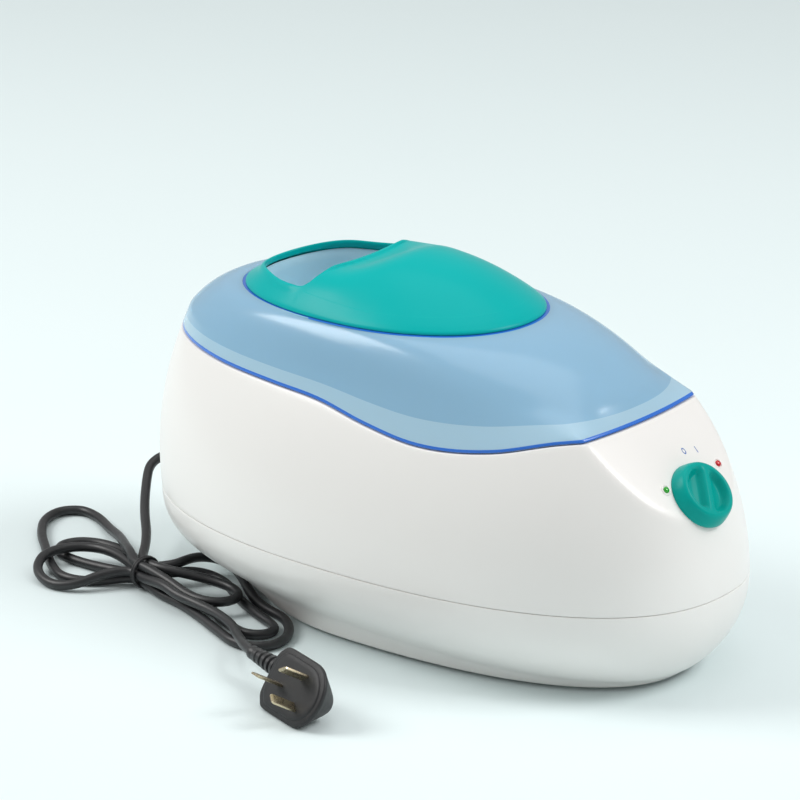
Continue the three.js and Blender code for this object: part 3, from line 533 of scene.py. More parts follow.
def mesh_object(name, points, faces, mat, sharp=0.6, place=None):
    """points are in millimetres in the body's datum, or in the frame that place turns into it."""
    mesh = bpy.data.meshes.new(name)
    points = np.asarray(points, float)
    if place is not None:
        m = np.array(place)
        points = points @ m[:3, :3].T + m[:3, 3]
    points = (points + np.array([DATUM_X, 0, 0])) * MM
    mesh.from_pydata(points.tolist(), [], [list(map(int, f)) for f in faces])
    mesh.validate()
    mesh.update()
    mesh.shade_smooth()
    mesh.set_sharp_from_angle(angle=sharp)
    obj = bpy.data.objects.new(name, mesh)
    obj.data.materials.append(mat)
    bpy.context.scene.collection.objects.link(obj)
    return obj


def turned(name, profile, mat, place, sides=96, sharp=0.6):
    """A turned piece about its own +Z; the profile runs from the axis or closes on itself."""
    closed = profile[0] == profile[-1]
    rows = profile[:-1] if closed else profile
    angles = np.arange(sides) * TURN / sides
    points, starts = [], []
    for r, z in rows:
        starts.append(len(points))
        if r < 1e-6:
            points.append((0, 0, z))
        else:
            points.extend((r * math.cos(a), r * math.sin(a), z) for a in angles)
    faces = []
    pairs = list(zip(range(len(rows)), range(1, len(rows))))
    if closed:
        pairs.append((len(rows) - 1, 0))
    for p, q in pairs:
        a, b = starts[p], starts[q]
        for i in range(sides):
            j = (i + 1) % sides
            if rows[p][0] < 1e-6:
                faces.append((a, b + j, b + i))
            elif rows[q][0] < 1e-6:
                faces.append((a + i, a + j, b))
            else:
                faces.append((a + i, a + j, b + j, b + i))
    return mesh_object(name, points, faces, mat, sharp, place)


def at(x, y, z, rotation=None):
    place = Matrix.Translation(Vector((x, y, z)))
    return place @ rotation.to_4x4() if rotation is not None else place


PANEL_FRAME = at(
    PANEL["x"], 0, PANEL["z"],
    Matrix((
        (0, -math.sin(PANEL["tilt"]), math.cos(PANEL["tilt"])),
        (1, 0, 0),
        (0, math.cos(PANEL["tilt"]), math.sin(PANEL["tilt"])),
    )),
)


def panel_sag(x, y):
    """How far the crowned panel lies below its own flat plane."""
    return x * x / (2 * PANEL["crown_across"]) + y * y / (2 * PANEL["crown_up"])


def stand_for(obj, body, slot, *nodes):
    """Puts a piece on its body, in place of the CAD nodes it draws; its slot is not used."""
    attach(obj, body)
    if nodes:
        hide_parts(*nodes)
    return obj


# ---------------------------------------------------------------- housings
def lower_housing(mat):
    top = SEAM_Z - SEAM_GAP / 2
    base = body_ring(BASE_Z)

    def height(share):
        return lambda x: BASE_Z + (crease_z(x) - BASE_Z) * share

    def wall(share):
        return lambda x: crease_z(x) + (top - 0.8 - crease_z(x)) * share

    centre = base.mean(axis=0)
    plate = [centre + (base - centre) * k for k in (0.25, 0.5, 0.75, 0.9, 0.97)]
    for ring in plate:
        ring[:, 2] = BASE_Z
    edge = centre + (base - centre) * 0.988
    edge[:, 2] = BASE_Z + 0.05
    shares = (0.035, 0.08, 0.15, 0.25, 0.36, 0.48, 0.6, 0.72, 0.84, 0.93)
    plinth = [body_ring(height(s)) for s in shares]
    crease = [body_ring(crease_z)]
    side = [body_ring(wall(s)) for s in np.linspace(0.04, 1, 20)]
    skin = smoothed([*plate, edge, *plinth, *crease, *side], 1, len(plate) + 1)
    lip = [body_ring(top - 0.35, 0.04), body_ring(top - 0.1, 0.16), body_ring(top, 0.45)]
    inner = [
        body_ring(top, WALL),
        body_ring(wall(0.5), WALL),
        body_ring(lambda x: crease_z(x) + 3, WALL + 1.5),
        body_ring(BASE_Z, WALL + 2),
    ]
    inner[-1][:, 2] = BASE_Z + WALL
    return loft("lower_shell", [*skin, *lip, *inner], "caps", mat)


def upper_housing(mat):
    """The upper shell: the wall, the step the lid sits on, the lip, the deck and the tank's mouth."""
    bottom = SEAM_Z + SEAM_GAP / 2
    lip_in = LIP_STEP + LIP_WIDTH

    def wall(share):
        return lambda x: bottom + 0.8 + (lid_line(x) - 0.7 - bottom - 0.8) * share

    outer = [body_ring(bottom, 0.45), body_ring(bottom + 0.1, 0.16), body_ring(bottom + 0.35, 0.04)]
    outer += [body_ring(wall(s)) for s in np.linspace(0, 1, 34)]
    outer += [
        body_ring(lambda x: lid_line(x) - 0.3, 0.1),
        body_ring(lambda x: lid_line(x) - 0.05, 0.35),
        body_ring(lid_line, 0.8),
        body_ring(lid_line, LIP_STEP - 0.7),
        body_ring(lambda x: lid_line(x) + 0.2, LIP_STEP - 0.2),
        body_ring(lambda x: lid_line(x) + 0.8, LIP_STEP),
    ]

    def lip_side(share):
        return lambda x: lid_line(x) + 0.8 + (lip_top(x) - 2 - lid_line(x) - 0.8) * share

    def inner_wall(share):
        return lambda x: bottom + (lid_line(x) - WALL - 1 - bottom) * share

    outer += [body_ring(lip_side(s), LIP_STEP + LIP_LEAN * s) for s in (0.35, 0.7)]
    crest = [
        body_ring(lambda x: lip_top(x) - 1.4, LIP_STEP + LIP_LEAN),
        body_ring(lambda x: lip_top(x) - 0.5, LIP_STEP + LIP_LEAN + 0.4),
        body_ring(lip_top, LIP_STEP + LIP_LEAN + 1.3),
        body_ring(lip_top, lip_in - 0.6),
        body_ring(lambda x: lip_top(x) - 0.4, lip_in + 0.6),
    ]
    rim = egg_ring(MOUTH, MOUTH_Z, 1.2)
    deck = between(crest[-1], rim, 7, -1.2)
    mouth = [rim, egg_ring(MOUTH, MOUTH_Z - 0.4, 0.3), egg_ring(MOUTH, MOUTH_Z - 1.3)]
    skirt = [egg_ring(MOUTH, MOUTH_Z - MOUTH_DEPTH), egg_ring(MOUTH, MOUTH_Z - MOUTH_DEPTH, WALL)]
    under = [
        egg_ring(MOUTH, MOUTH_Z - WALL - 0.6, WALL),
        body_ring(lambda x: lip_top(x) - WALL - 1, lip_in + 0.4),
        body_ring(lambda x: lip_top(x) - WALL, LIP_STEP + WALL + 1.2),
        body_ring(lambda x: lid_line(x) - WALL, LIP_STEP + WALL),
        body_ring(lambda x: lid_line(x) - WALL - 1, WALL),
    ]
    inner = [body_ring(inner_wall(s), WALL) for s in (0.75, 0.5, 0.25, 0)]
    rings = [*outer, *crest, *deck, *mouth, *skirt, *under, *inner]
    return loft("upper_shell", rings, "loop", mat)


# ---------------------------------------------------------------- lid and cap
def lid_profile(depth):
    """The lid's skin from its lower edge over the fold to the rim under the cap, depth mm inside."""
    edge = body_ring(lambda x: lid_line(x) + LID_GAP + LID_LINE_TOP, depth)
    fold = egg_ring(FOLD, FOLD["z"] - depth * 0.6, -depth * 0.8)
    rim = egg_ring(CAP_RIM, CAP_RIM["z"] - depth, depth * 0.4)
    skirt = [edge, *between(edge, fold, 9)]
    dome = [fold, *between(fold, rim, 16, DOME_BULGE), rim]
    return smoothed([*skirt, *dome], 2, 1, len(skirt) + 10)


def lid(mat, edge_mat, pocket_mat, skirt_mat):
    """The lid as one closed shell: up its inside, round its lower edge, up its outside and into the recess."""
    rim_z = CAP_RIM["z"]

    def line(x):
        return lid_line(x) + LID_GAP

    lower = [
        body_ring(line, LID_WALL - 0.6),
        body_ring(line, 0.7),
        body_ring(lambda x: line(x) + 0.1, 0.3),
        body_ring(lambda x: line(x) + 0.4, 0.07),
    ]
    floor = rim_z - RECESS_DEPTH
    line_round_cap = [egg_ring(CAP_RIM, rim_z - 0.3, CAP_LINE_WIDTH), egg_ring(CAP_RIM, rim_z)]
    # A shelf for the cap's skirt, a collar that lines the finger opening, and the recess itself.
    recess = [
        egg_ring(CAP_RIM, rim_z, -2.6),
        egg_ring(CAP_RIM, rim_z - SHELF_DROP, -2.6),
        egg_ring(CAP_RIM, rim_z - SHELF_DROP, -5.4),
        egg_ring(CAP_RIM, rim_z + 0.5, -5.6),
        cap_point(0.905, ANGLES, CAP_WALL + 0.9),
        cap_point(0.893, ANGLES, CAP_WALL + 0.9),
        cap_point(0.886, ANGLES, CAP_WALL + 2.2),
        cap_point(0.875, ANGLES, CAP_WALL + 8),
        egg_ring(CAP_RIM, floor + 8, -RECESS_INSET + 2),
        egg_ring(CAP_RIM, floor + 2.5, -RECESS_INSET),
        egg_ring(CAP_RIM, floor + 0.6, -RECESS_INSET - 2.4),
        egg_ring(CAP_RIM, floor, -RECESS_INSET - 6),
    ]
    under = [
        egg_ring(CAP_RIM, floor - LID_WALL, -RECESS_INSET - 5),
        egg_ring(CAP_RIM, floor - LID_WALL + 1, -RECESS_INSET - 0.5),
        egg_ring(CAP_RIM, floor + 5, -RECESS_INSET + 2 + LID_WALL),
        egg_ring(CAP_RIM, rim_z - SHELF_DROP - LID_WALL - 1.5, -2.2),
    ]
    inner = lid_profile(LID_WALL)[::-1]
    rings = [*under, *inner[1:], *lower, *lid_profile(0)[:-1], *line_round_cap, *recess]
    obj = loft("lid_shell", rings, "caps", mat, 0.8)
    first = len(under) + len(inner) - 1
    shelf = len(rings) - len(recess)
    skirt = first + len(lower)
    # The lid's lower edge and the line round the cap are painted deep blue: painted edge-on refraction.
    dark = [*range(first, skirt), *range(shelf - 2, shelf + 1)]
    # The recess and its floor are painted paler: painted light against the shade under the cap.
    pocket = range(shelf + 3, len(rings) - 1)
    polygons = obj.data.polygons
    # The skirt's lowest rings are painted paler: painted light from the white lip seen through the lid, and a
    # painted highlight.
    pale = range(skirt, skirt + SKIRT_BANDS)
    for finish, bands in ((edge_mat, dark), (pocket_mat, pocket), (skirt_mat, pale)):
        obj.data.materials.append(finish)
        slot = len(obj.data.materials) - 1
        for band in bands:
            for i in range(STEPS):
                polygons[band * STEPS + i].material_index = slot
    pocket_slot = 2
    last_fan = (len(rings) - 1) * STEPS
    for i in range(STEPS):
        polygons[last_fan + 2 * i + 1].material_index = pocket_slot
    return obj


def cap_plan(angles):
    """Each ray of the cap's plan: its shares along and across, and how far the rim reaches along."""
    c = power(np.cos(angles), 2 / CAP_RIM["power"])
    s = power(np.sin(angles), 2 / CAP_RIM["power"])
    return c, s, np.where(c >= 0, CAP_RIM["front"], CAP_RIM["rear"])


def cap_point(share, angles, drop=0.0):
    """The cap's points at a share of the way from its centre line to its rim, drop mm below its surface."""
    c, s, reach = cap_plan(angles)
    x = CAP_RIM["x"] + share * reach * c
    y = share * CAP_RIM["half"] * s
    flatness = 2 + smoothstep(-x, *CAP_FLATTER[0]) + smoothstep(-x, *CAP_FLATTER[1])
    crown = CAP_CROWN - CAP_REAR_FALL * smoothstep(-x, *CAP_REAR_SPAN)
    rise = 1 - share**flatness
    height = crown * rise - CAP_DIP * smoothstep(-x, *CAP_DIP_SPAN) * rise**4
    z = CAP_RIM["z"] + CAP_RIM["slope"] * x + SEAM_GAP + CAP_EDGE + height - drop
    return np.stack([x, y, z], axis=1)


def finger_opening(angles):
    """The shares between which each ray from the cap's centre line crosses the finger opening."""
    c, s, _ = cap_plan(angles)
    edge_share = (FINGER_EDGE_X - CAP_RIM["x"]) / CAP_RIM["rear"]
    reach_y = CAP_RIM["half"] * math.sqrt(FINGER_SHARE**2 - edge_share**2)
    hit = np.full(len(angles), FINGER_SHARE)
    back = c < -0.02
    for _ in range(30):
        y = hit * CAP_RIM["half"] * s
        front = FINGER_EDGE_X + FINGER_BOW * (1 - np.clip(np.abs(y) / reach_y, 0, 1) ** 4)
        run = np.where(back, CAP_RIM["rear"] * c, 1)
        aim = np.where(back, (front - CAP_RIM["x"]) / run, FINGER_SHARE)
        hit = 0.5 * hit + 0.5 * np.clip(aim, 0.05, FINGER_SHARE)
    middle, half = (FINGER_SHARE + hit) / 2, (FINGER_SHARE - hit) / 2
    half = np.sqrt(np.clip(half**2 - FINGER_ROUND**2, 0, None))
    return middle - half, middle + half


def handle_cap(mat):
    """The domed cap: a dome and a rim that part at the finger opening, each with a bead along it."""
    angles = np.arange(CAP_STEPS) * TURN / CAP_STEPS
    c, s, reach = cap_plan(angles)
    ray = np.hypot(reach * c, CAP_RIM["half"] * s)
    near, far = finger_opening(angles)
    opened = far - near > 1e-4
    # The bead fades out towards the opening's two corners.
    blur = np.ones(15) / 15
    bead = smoothstep(np.convolve(np.tile(opened, 3).astype(float), blur, "same"), 0.5, 1)
    bead = bead[CAP_STEPS:2 * CAP_STEPS]
    inside = near - CAP_BEAD[0][0] / ray
    rings = [cap_point(inside * t, angles) for t in np.linspace(0.08, 1, 22)[:-1]]
    for back, drop in CAP_BEAD:
        rings.append(cap_point(np.maximum(near - back / ray, 0.04), angles, drop * bead))
    dome_top = len(rings)
    for back, drop in CAP_BEAD[::-1]:
        share = np.minimum(far + min(back, RIM_BEAD_REACH) / ray, RIM_BEAD_LIMIT)
        rings.append(cap_point(share, angles, drop * bead))
    outside = np.minimum(far + RIM_BEAD_REACH / ray, RIM_BEAD_LIMIT)
    for t in (0.25, 0.5, 0.75, 0.9):
        rings.append(cap_point(outside * (1 - t) + 0.992 * t, angles, 0.25 * t))
    rings.append(cap_point(0.997, angles, 0.5))
    rings.append(cap_point(1.0, angles, 1.0))
    seat = CAP_RIM["z"] + SEAM_GAP
    for drop, shrink in ((0.1, 0), (0, -0.4), (0, -3), (-2, -3), (-2, -4.8)):
        x, y = egg_xy(CAP_RIM, shrink, angles)
        rings.append(np.stack([x, y, seat + drop + CAP_RIM["slope"] * x], axis=1))
    rings.append(cap_point(0.93, angles, CAP_WALL))
    rings.append(cap_point(far, angles, CAP_WALL))
    rim_under = len(rings)
    rings.append(cap_point(near, angles, CAP_WALL))
    for t in np.linspace(1, 0.04, 12)[1:]:
        rings.append(cap_point(near * t, angles, CAP_WALL))
    return split_loft("cap_shell", rings, dome_top, rim_under, opened, mat)


def split_loft(name, rings, top_split, under_split, open_at, mat):
    """A capped loft that is left open at its two splits where open_at is true, and walled there."""
    count = len(rings[0])
    points = np.concatenate([*rings, cap_point(0, ANGLES[:1]), cap_point(0, ANGLES[:1], CAP_WALL)])
    low, high = len(points) - 2, len(points) - 1
    faces = []
    for r in range(len(rings) - 1):
        a, b = r * count, (r + 1) * count
        for i in range(count):
            j = (i + 1) % count
            opened = open_at[i] or open_at[j]
            if r + 1 in (top_split, under_split) and opened:
                continue
            faces.append((a + i, a + j, b + j, b + i)[::-1])
    dome_top, dome_under = (top_split - 1) * count, under_split * count
    rim_top, rim_under = top_split * count, (under_split - 1) * count
    top = (len(rings) - 1) * count
    for i in range(count):
        j = (i + 1) % count
        faces.append((low, i, j))
        faces.append((high, top + j, top + i))
        if open_at[i] or open_at[j]:
            faces.append((dome_top + i, dome_top + j, dome_under + j, dome_under + i)[::-1])
            faces.append((rim_top + i, rim_top + j, rim_under + j, rim_under + i))
    return mesh_object(name, points, faces, mat, 0.9)


# ---------------------------------------------------------------- control panel
def knob(mat):
    """A low round knob whose face is scooped on each side of a finger bar."""
    sides, rows = 144, 44
    angles = np.arange(sides) * TURN / sides
    r_max, h = KNOB_RADIUS, KNOB_HEIGHT
    rim_in = r_max - KNOB_RIM

    def face(x, y):
        radius = np.hypot(x, y)
        crown = h - 0.5 * (radius / r_max) ** 2
        bar = smoothstep(np.abs(x), *KNOB_BAR)
        edge = 1 - smoothstep(radius, rim_in - 4.5, rim_in)
        depth = KNOB_SCOOP * (0.75 + 0.25 * smoothstep(np.abs(x), 3, 9))
        return crown - depth * bar * edge

    points, faces = [(0, 0, face(0, 0))], []
    for row in range(1, rows + 1):
        r = (r_max - KNOB_FACE_EDGE) * row / rows
        for a in angles:
            x, y = r * math.cos(a), r * math.sin(a)
            points.append((x, y, float(face(x, y))))
    side = [(r_max - back, h - 0.4 - down) for back, down in KNOB_SIDE]
    hollow = (10, 0.7)
    for r, z in (*side, hollow):
        points.extend((r * math.cos(a), r * math.sin(a), z) for a in angles)
    points.append((0, 0, 4))
    total = rows + len(side) + 1
    for i in range(sides):
        j = (i + 1) % sides
        faces.append((0, 1 + i, 1 + j))
        for row in range(total - 1):
            a, b = 1 + row * sides, 1 + (row + 1) * sides
            faces.append((a + i, b + i, b + j, a + j))
        last = 1 + (total - 1) * sides
        faces.append((last + i, len(points) - 1, last + j))
    turn = Matrix.Rotation(KNOB_TURN, 4, "Z")
    return mesh_object("knob_cap", points, faces, mat, 0.9, PANEL_FRAME @ turn)


def lens(name, x, y, mat):
    r, sag = 1.9, panel_sag(x, y)
    profile = [(0, -7), (r, -7), (r, 0.2 - sag)]
    profile += [(r * math.cos(a), 0.2 - sag + 1.2 * math.sin(a)) for a in np.linspace(0.2, 1.4, 8)]
    profile.append((0, 1.42 - sag))
    return turned(name, profile, mat, PANEL_FRAME @ Matrix.Translation((x, y, 0)), 48)


def bezel(name, x, y, mat):
    """The raised ring moulded round a lens."""
    r, sag = 2.35, panel_sag(x, y)
    section = [(0, -0.6), (1.1, -0.6), (1.0, 0.25), (0.6, 0.5), (0.15, 0.4), (0, 0.1), (0, -0.6)]
    profile = [(r + out, up - sag) for out, up in section]
    return turned(name, profile, mat, PANEL_FRAME @ Matrix.Translation((x, y, 0)), 48)


def mark_ring(name, x, y, mat):
    """A printed 0: a thin oval band on the panel's skin."""
    points, faces, sides = [], [], 40
    for r in (0.62, 1.0):
        for lift in PRINT_LIFTS:
            for i in range(sides):
                a = TURN * i / sides
                px, py = x + 1.4 * r * math.cos(a), y + 2.1 * r * math.sin(a)
                points.append((px, py, lift - panel_sag(px, py)))
    order = [0, 1, 3, 2]
    for k in range(4):
        a, b = order[k] * sides, order[(k + 1) % 4] * sides
        for i in range(sides):
            j = (i + 1) % sides
            faces.append((a + i, b + i, b + j, a + j))
    return mesh_object(name, points, faces, mat, 0.6, PANEL_FRAME)


def mark_bar(name, x, y, mat):
    """A printed I: a thin upright bar on the panel's skin."""
    points = []
    for lift in PRINT_LIFTS:
        for dx, dy in ((-0.3, -2.1), (0.3, -2.1), (0.3, 2.1), (-0.3, 2.1)):
            points.append((x + dx, y + dy, lift - panel_sag(x + dx, y + dy)))
    sides = [(i, (i + 1) % 4, 4 + (i + 1) % 4, 4 + i) for i in range(4)]
    faces = [(3, 2, 1, 0), (4, 5, 6, 7), *sides]
    return mesh_object(name, points, faces, mat, 0.6, PANEL_FRAME)


# ---------------------------------------------------------------- mains lead
def neck_slot(name, along):
    """A point of one run, along mm from the tie."""
    across, up = NECK_SLOTS[name]
    across, up = across * NECK["spacing"], up * NECK["spacing"]
    c, s = math.cos(NECK["heading"]), math.sin(NECK["heading"])
    return (NECK["x"] + along * c - across * s, NECK["y"] + along * s + across * c, NECK["z"] + up)


def through_neck(name, direction):
    """The points that lead a run straight through the tie."""
    reach = NECK["reach"]
    return [neck_slot(name, -direction * reach), neck_slot(name, direction * reach)]


def cord_route():
    """The whole lead from the gland to the plug, back and forth through the tied neck."""
    return [
        *DROP_ROUTE,
        *through_neck("top_far", 1), *SHORT_LOOP,
        *through_neck("top_near", -1), *BIG_LEFT_LOOP,
        *through_neck("low_near", 1), *BIG_RIGHT_LOOP,
        *through_neck("mid_far", -1)[1:], *INNER_LEFT_LOOP,
        *through_neck("low_far", 1), *INNER_RIGHT_LOOP,
        *through_neck("middle", -1)[1:], *FRONT_LEFT_LOOP,
        *through_neck("mid_near", 1), *TAIL_ROUTE,
    ]


def smooth_line(points, step):
    """A centripetal Catmull-Rom curve through the points, sampled about every step mm."""
    p = np.array(points, float)
    p = np.vstack([2 * p[0] - p[1], p, 2 * p[-1] - p[-2]])
    out = []
    for i in range(1, len(p) - 2):
        p0, p1, p2, p3 = p[i - 1:i + 3]
        t1 = np.linalg.norm(p1 - p0) ** 0.5
        t2 = t1 + np.linalg.norm(p2 - p1) ** 0.5
        t3 = t2 + np.linalg.norm(p3 - p2) ** 0.5
        count = max(2, int(round(np.linalg.norm(p2 - p1) / step)))
        for t in t1 + (t2 - t1) * np.arange(count) / count:
            a1 = (t1 - t) / t1 * p0 + t / t1 * p1
            a2 = (t2 - t) / (t2 - t1) * p1 + (t - t1) / (t2 - t1) * p2
            a3 = (t3 - t) / (t3 - t2) * p2 + (t - t2) / (t3 - t2) * p3
            b1 = (t2 - t) / t2 * a1 + t / t2 * a2
            b2 = (t3 - t) / (t3 - t1) * a2 + (t - t1) / (t3 - t1) * a3
            out.append((t2 - t) / (t2 - t1) * b1 + (t - t1) / (t2 - t1) * b2)
    out.append(p[-2])
    line = np.array(out)
    for _ in range(6):
        line[1:-1] = 0.25 * line[:-2] + 0.5 * line[1:-1] + 0.25 * line[2:]
    return line


def line_length(line):
    return float(np.linalg.norm(np.diff(line, axis=0), axis=1).sum())


def curve_object(name, line, radius, mat):
    data = bpy.data.curves.new(name, "CURVE")
    data.dimensions = "3D"
    data.bevel_depth = radius * MM
    data.bevel_resolution = 5
    data.use_fill_caps = True
    spline = data.splines.new("POLY")
    spline.points.add(len(line) - 1)
    for point, (x, y, z) in zip(spline.points, line):
        point.co = ((x + DATUM_X) * MM, y * MM, z * MM, 1)
    spline.use_smooth = True
    data.materials.append(mat)
    obj = bpy.data.objects.new(name, data)
    bpy.context.scene.collection.objects.link(obj)
    return obj


def twist_tie(mat):
    """A paper-covered wire wound twice round the neck of the bundle."""
    c, s = math.cos(NECK["heading"]), math.sin(NECK["heading"])
    points = []
    turns, per_turn = 2, 20
    half_across, half_up = 9.6, 9.3
    for i in range(turns * per_turn + 1):
        a = -math.pi / 2 + TURN * i / per_turn
        along = -2.2 + 3.2 * i / (turns * per_turn)
        across, up = half_across * math.cos(a), half_up * math.sin(a)
        x = NECK["x"] + along * c - across * s
        y = NECK["y"] + along * s + across * c
        points.append((x, y, NECK["z"] + 0.2 + up))
    return curve_object("tie_wire", smooth_line(points, 1.5), 0.9, mat)


PLUG_HEADING = Matrix.Rotation(PLUG["heading"], 4, "Z")
PLUG_LEAN = Matrix.Rotation(math.pi / 2 - PLUG["lean"], 4, "X")
PLUG_FRAME = at(PLUG["x"], PLUG["y"], PLUG["z"]) @ PLUG_HEADING @ PLUG_LEAN


def plug_outline(grow, z, count=12):
    """The plug's outline, grow mm outside its own size: square at the cord's end and round at the other."""
    half, wide = PLUG["length"] / 2 + grow, PLUG["width"] / 2 + grow
    corner, chamfer, nose = PLUG_CORNER, PLUG_CHAMFER, PLUG_NOSE
    straight = 2 * half - nose - chamfer
    corners = [(-half, wide - corner), (-half, -wide + corner), (-half + chamfer, -wide)]
    points = []
    for (ax, ay), (bx, by) in zip(corners, corners[1:]):
        points.extend((ax + (bx - ax) * i / count, ay + (by - ay) * i / count) for i in range(count))
    points.extend((-half + chamfer + straight * i / count, -wide) for i in range(count))
    for a in np.linspace(-math.pi / 2, math.pi / 2, 3 * count):
        points.append((half - nose + nose * math.cos(a), wide * math.sin(a)))
    points.extend((half - nose - straight * (i + 1) / count, wide) for i in range(count))
    for i in range(count - 1):
        share = (i + 1) / count
        points.append((-half + chamfer - chamfer * share, wide - corner * share))
    return np.array([(x, y, z) for x, y in points])


def soften(ring, passes):
    for _ in range(passes):
        before, after = np.roll(ring, 1, 0)[:, :2], np.roll(ring, -1, 0)[:, :2]
        ring[:, :2] = 0.25 * before + 0.5 * ring[:, :2] + 0.25 * after
    return ring


def plug_body(mat):
    d = PLUG["depth"]
    # Each level as (mm outside the outline, height over the face).
    levels = [
        (-13, -d), (-11.4, -d + 0.1), (-10.3, -d + 0.5), (-9.2, -d + 1.3), (-7.5, -d + 3.6),
        (-5, -d + 7.5), (-2.6, -d + 11.4), (-1, -4), (-0.3, -3), (0, -2.2), (0, -1.4), (-0.2, -0.8),
        (-0.7, -0.45), (-2.4, -0.4), (-2.8, -0.3), (-3.1, 0.2), (-3.6, 0.5), (-6, 0.55),
    ]
    rings = [soften(plug_outline(grow, z), 6) for grow, z in levels]
    return loft("plug_shell", rings, "caps", mat, 0.7, PLUG_FRAME)


def plug_pin(name, x, y, turn, length, mat):
    half_width, half_thick = 3.2, 0.8
    # Each level as (height, share of the width, share of the thickness).
    levels = [
        (-6.5, 1, 1), (0, 1, 1), (length - 2, 1, 1), (length - 0.8, 0.9, 0.75), (length - 0.15, 0.72, 0.45),
    ]
    points, faces = [], []
    corner = [(-1, -0.7), (-0.9, -1), (0.9, -1), (1, -0.7), (1, 0.7), (0.9, 1), (-0.9, 1), (-1, 0.7)]
    for z, across, thick in levels:
        points.extend((half_width * u * across, half_thick * v * thick, z) for u, v in corner)
    n = len(corner)
    for r in range(len(levels) - 1):
        a, b = r * n, (r + 1) * n
        faces.extend((a + i, a + (i + 1) % n, b + (i + 1) % n, b + i) for i in range(n))
    faces.append(tuple(range(n))[::-1])
    faces.append(tuple((len(levels) - 1) * n + i for i in range(n)))
    place = PLUG_FRAME @ Matrix.Translation((x, y, 0)) @ Matrix.Rotation(turn, 4, "Z")
    return mesh_object(name, points, faces, mat, 0.5, place)


def ribbed_sleeve(name, start, end, r_start, r_end, ribs, mat, place):
    """A tapered strain relief from start to end along its own +Z, with a groove between ribs."""
    profile = [(CORD_RADIUS + 0.3, start), (r_start - 0.6, start), (r_start, start + 0.5)]
    pitch = (end - start - 2) / ribs
    for i in range(ribs):
        z = start + 1 + i * pitch
        share = (z - start) / (end - start)
        r = r_start + (r_end - r_start) * share
        groove = max(CORD_RADIUS + 0.9, r - 1.3)
        for along, radius in ((0.05, r), (0.5, r), (0.6, groove), (0.9, groove), (1.0, r)):
            profile.append((radius, z + pitch * along))
    profile += [(r_end, end - 0.6), (r_end - 0.5, end), (CORD_RADIUS + 0.3, end)]
    profile.append(profile[0])
    return turned(name, profile, mat, place, 48, 0.5)


def plug_relief(mat):
    along = Matrix.Rotation(math.pi / 2, 4, "Y")
    entry = Matrix.Translation((-PLUG["length"] / 2 - 3.2, PLUG_ENTRY, -PLUG["depth"] / 2))
    place = PLUG_FRAME @ entry @ along
    return ribbed_sleeve("plug_boot", -30, 3, 4.0, 6.3, 6, mat, place)


def cord_gland(mat):
    place = at(*GLAND) @ Matrix.Rotation(math.pi / 2, 4, "Y")
    bore = CORD_RADIUS + 0.4
    profile = [
        (bore, -22), (3.9, -22), (4.2, -21.4), (5.4, -5), (7.2, -4.8), (7.6, -4.3), (7.6, -2.4),
        (7.3, -2.1), (5.9, -2), (5.9, 3.4), (8, 3.8), (8, 6), (bore, 6), (bore, -22),
    ]
    return turned("gland_boot", profile, mat, place, 64, 0.5)


# ---------------------------------------------------------------- feet and inner parts
def foot(name, box, mat):
    low, high = box
    x, y = (low[0] + high[0]) / 2 / MM - DATUM_X, (low[1] + high[1]) / 2 / MM
    profile = [
        (0, 0.35), (3.2, 0.3), (4, 0), (7, 0), (7.6, 0.15), (8, 0.6), (7.9, 1.3), (7.5, 1.7),
        (2.6, 1.8), (2.5, 6), (0, 6),
    ]
    return turned(name, profile, mat, at(x, y, 0), 56, 0.5)


def dress_inner(palette):
    """The pieces that show only with the lid off or from below keep their CAD shape and get a material."""
    finish = {
        "wax_tank": "tank", "protective_grid": "grid", "mouth_seal": "silicone", "heater_plate": "mica",
        "insulation_pad": "fibre", "heat_shield": "steel", "shield_nut_1": "steel", "shield_nut_2": "steel",
        "thermal_fuse": "brass", "thermostat": "bakelite", "thermostat_nut": "bright",
        "thermostat_shaft": "bright", "green_lamp": "bright", "red_lamp": "bright",
        "terminal_block": "bakelite", "cord_clamp": "black",
        "supply_lead": "cord", "heater_lead": "red_wire", "thermostat_lead": "black",
    }
    for i in range(1, 5):
        finish[f"housing_screw_{i}"] = "steel"
    for node, key in finish.items():
        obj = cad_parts[node]
        obj.data.materials.clear()
        obj.data.materials.append(palette[key])


# ---------------------------------------------------------------- room
def area_light(name, place, aim, size, watts, colour):
    data = bpy.data.lights.new(name, "AREA")
    data.shape = "RECTANGLE"
    data.size, data.size_y = size, size
    data.energy = watts
    data.color = colour
    obj = bpy.data.objects.new(name, data)
    obj.location = place
    obj.rotation_euler = (Vector(place) - Vector(aim)).to_track_quat("Z", "Y").to_euler()
    bpy.context.scene.collection.objects.link(obj)


def add_room():
    bpy.context.scene.view_settings.view_transform = "Standard"
    world = bpy.data.worlds.new("studio")
    bpy.context.scene.world = world
    world.use_nodes = True
    background = world.node_tree.nodes["Background"]
    background.inputs["Color"].default_value = (*SKY_COLOUR, 1)
    background.inputs["Strength"].default_value = SKY_STRENGTH
    floor = material("floor_pale", (0.76, 0.86, 0.87), 0.75)
    vary_colour(floor, 3, (0.76, 0.86, 0.87), (0.78, 0.875, 0.885))
    r = FLOOR_REACH
    mesh = bpy.data.meshes.new("floor")
    mesh.from_pydata([(-r, -r, 0), (r, -r, 0), (r, r, 0), (-r, r, 0)], [], [(0, 1, 2, 3)])
    mesh.materials.append(floor)
    plane = bpy.data.objects.new("floor", mesh)
    bpy.context.scene.collection.objects.link(plane)
    for light in LIGHTS:
        area_light(*light)


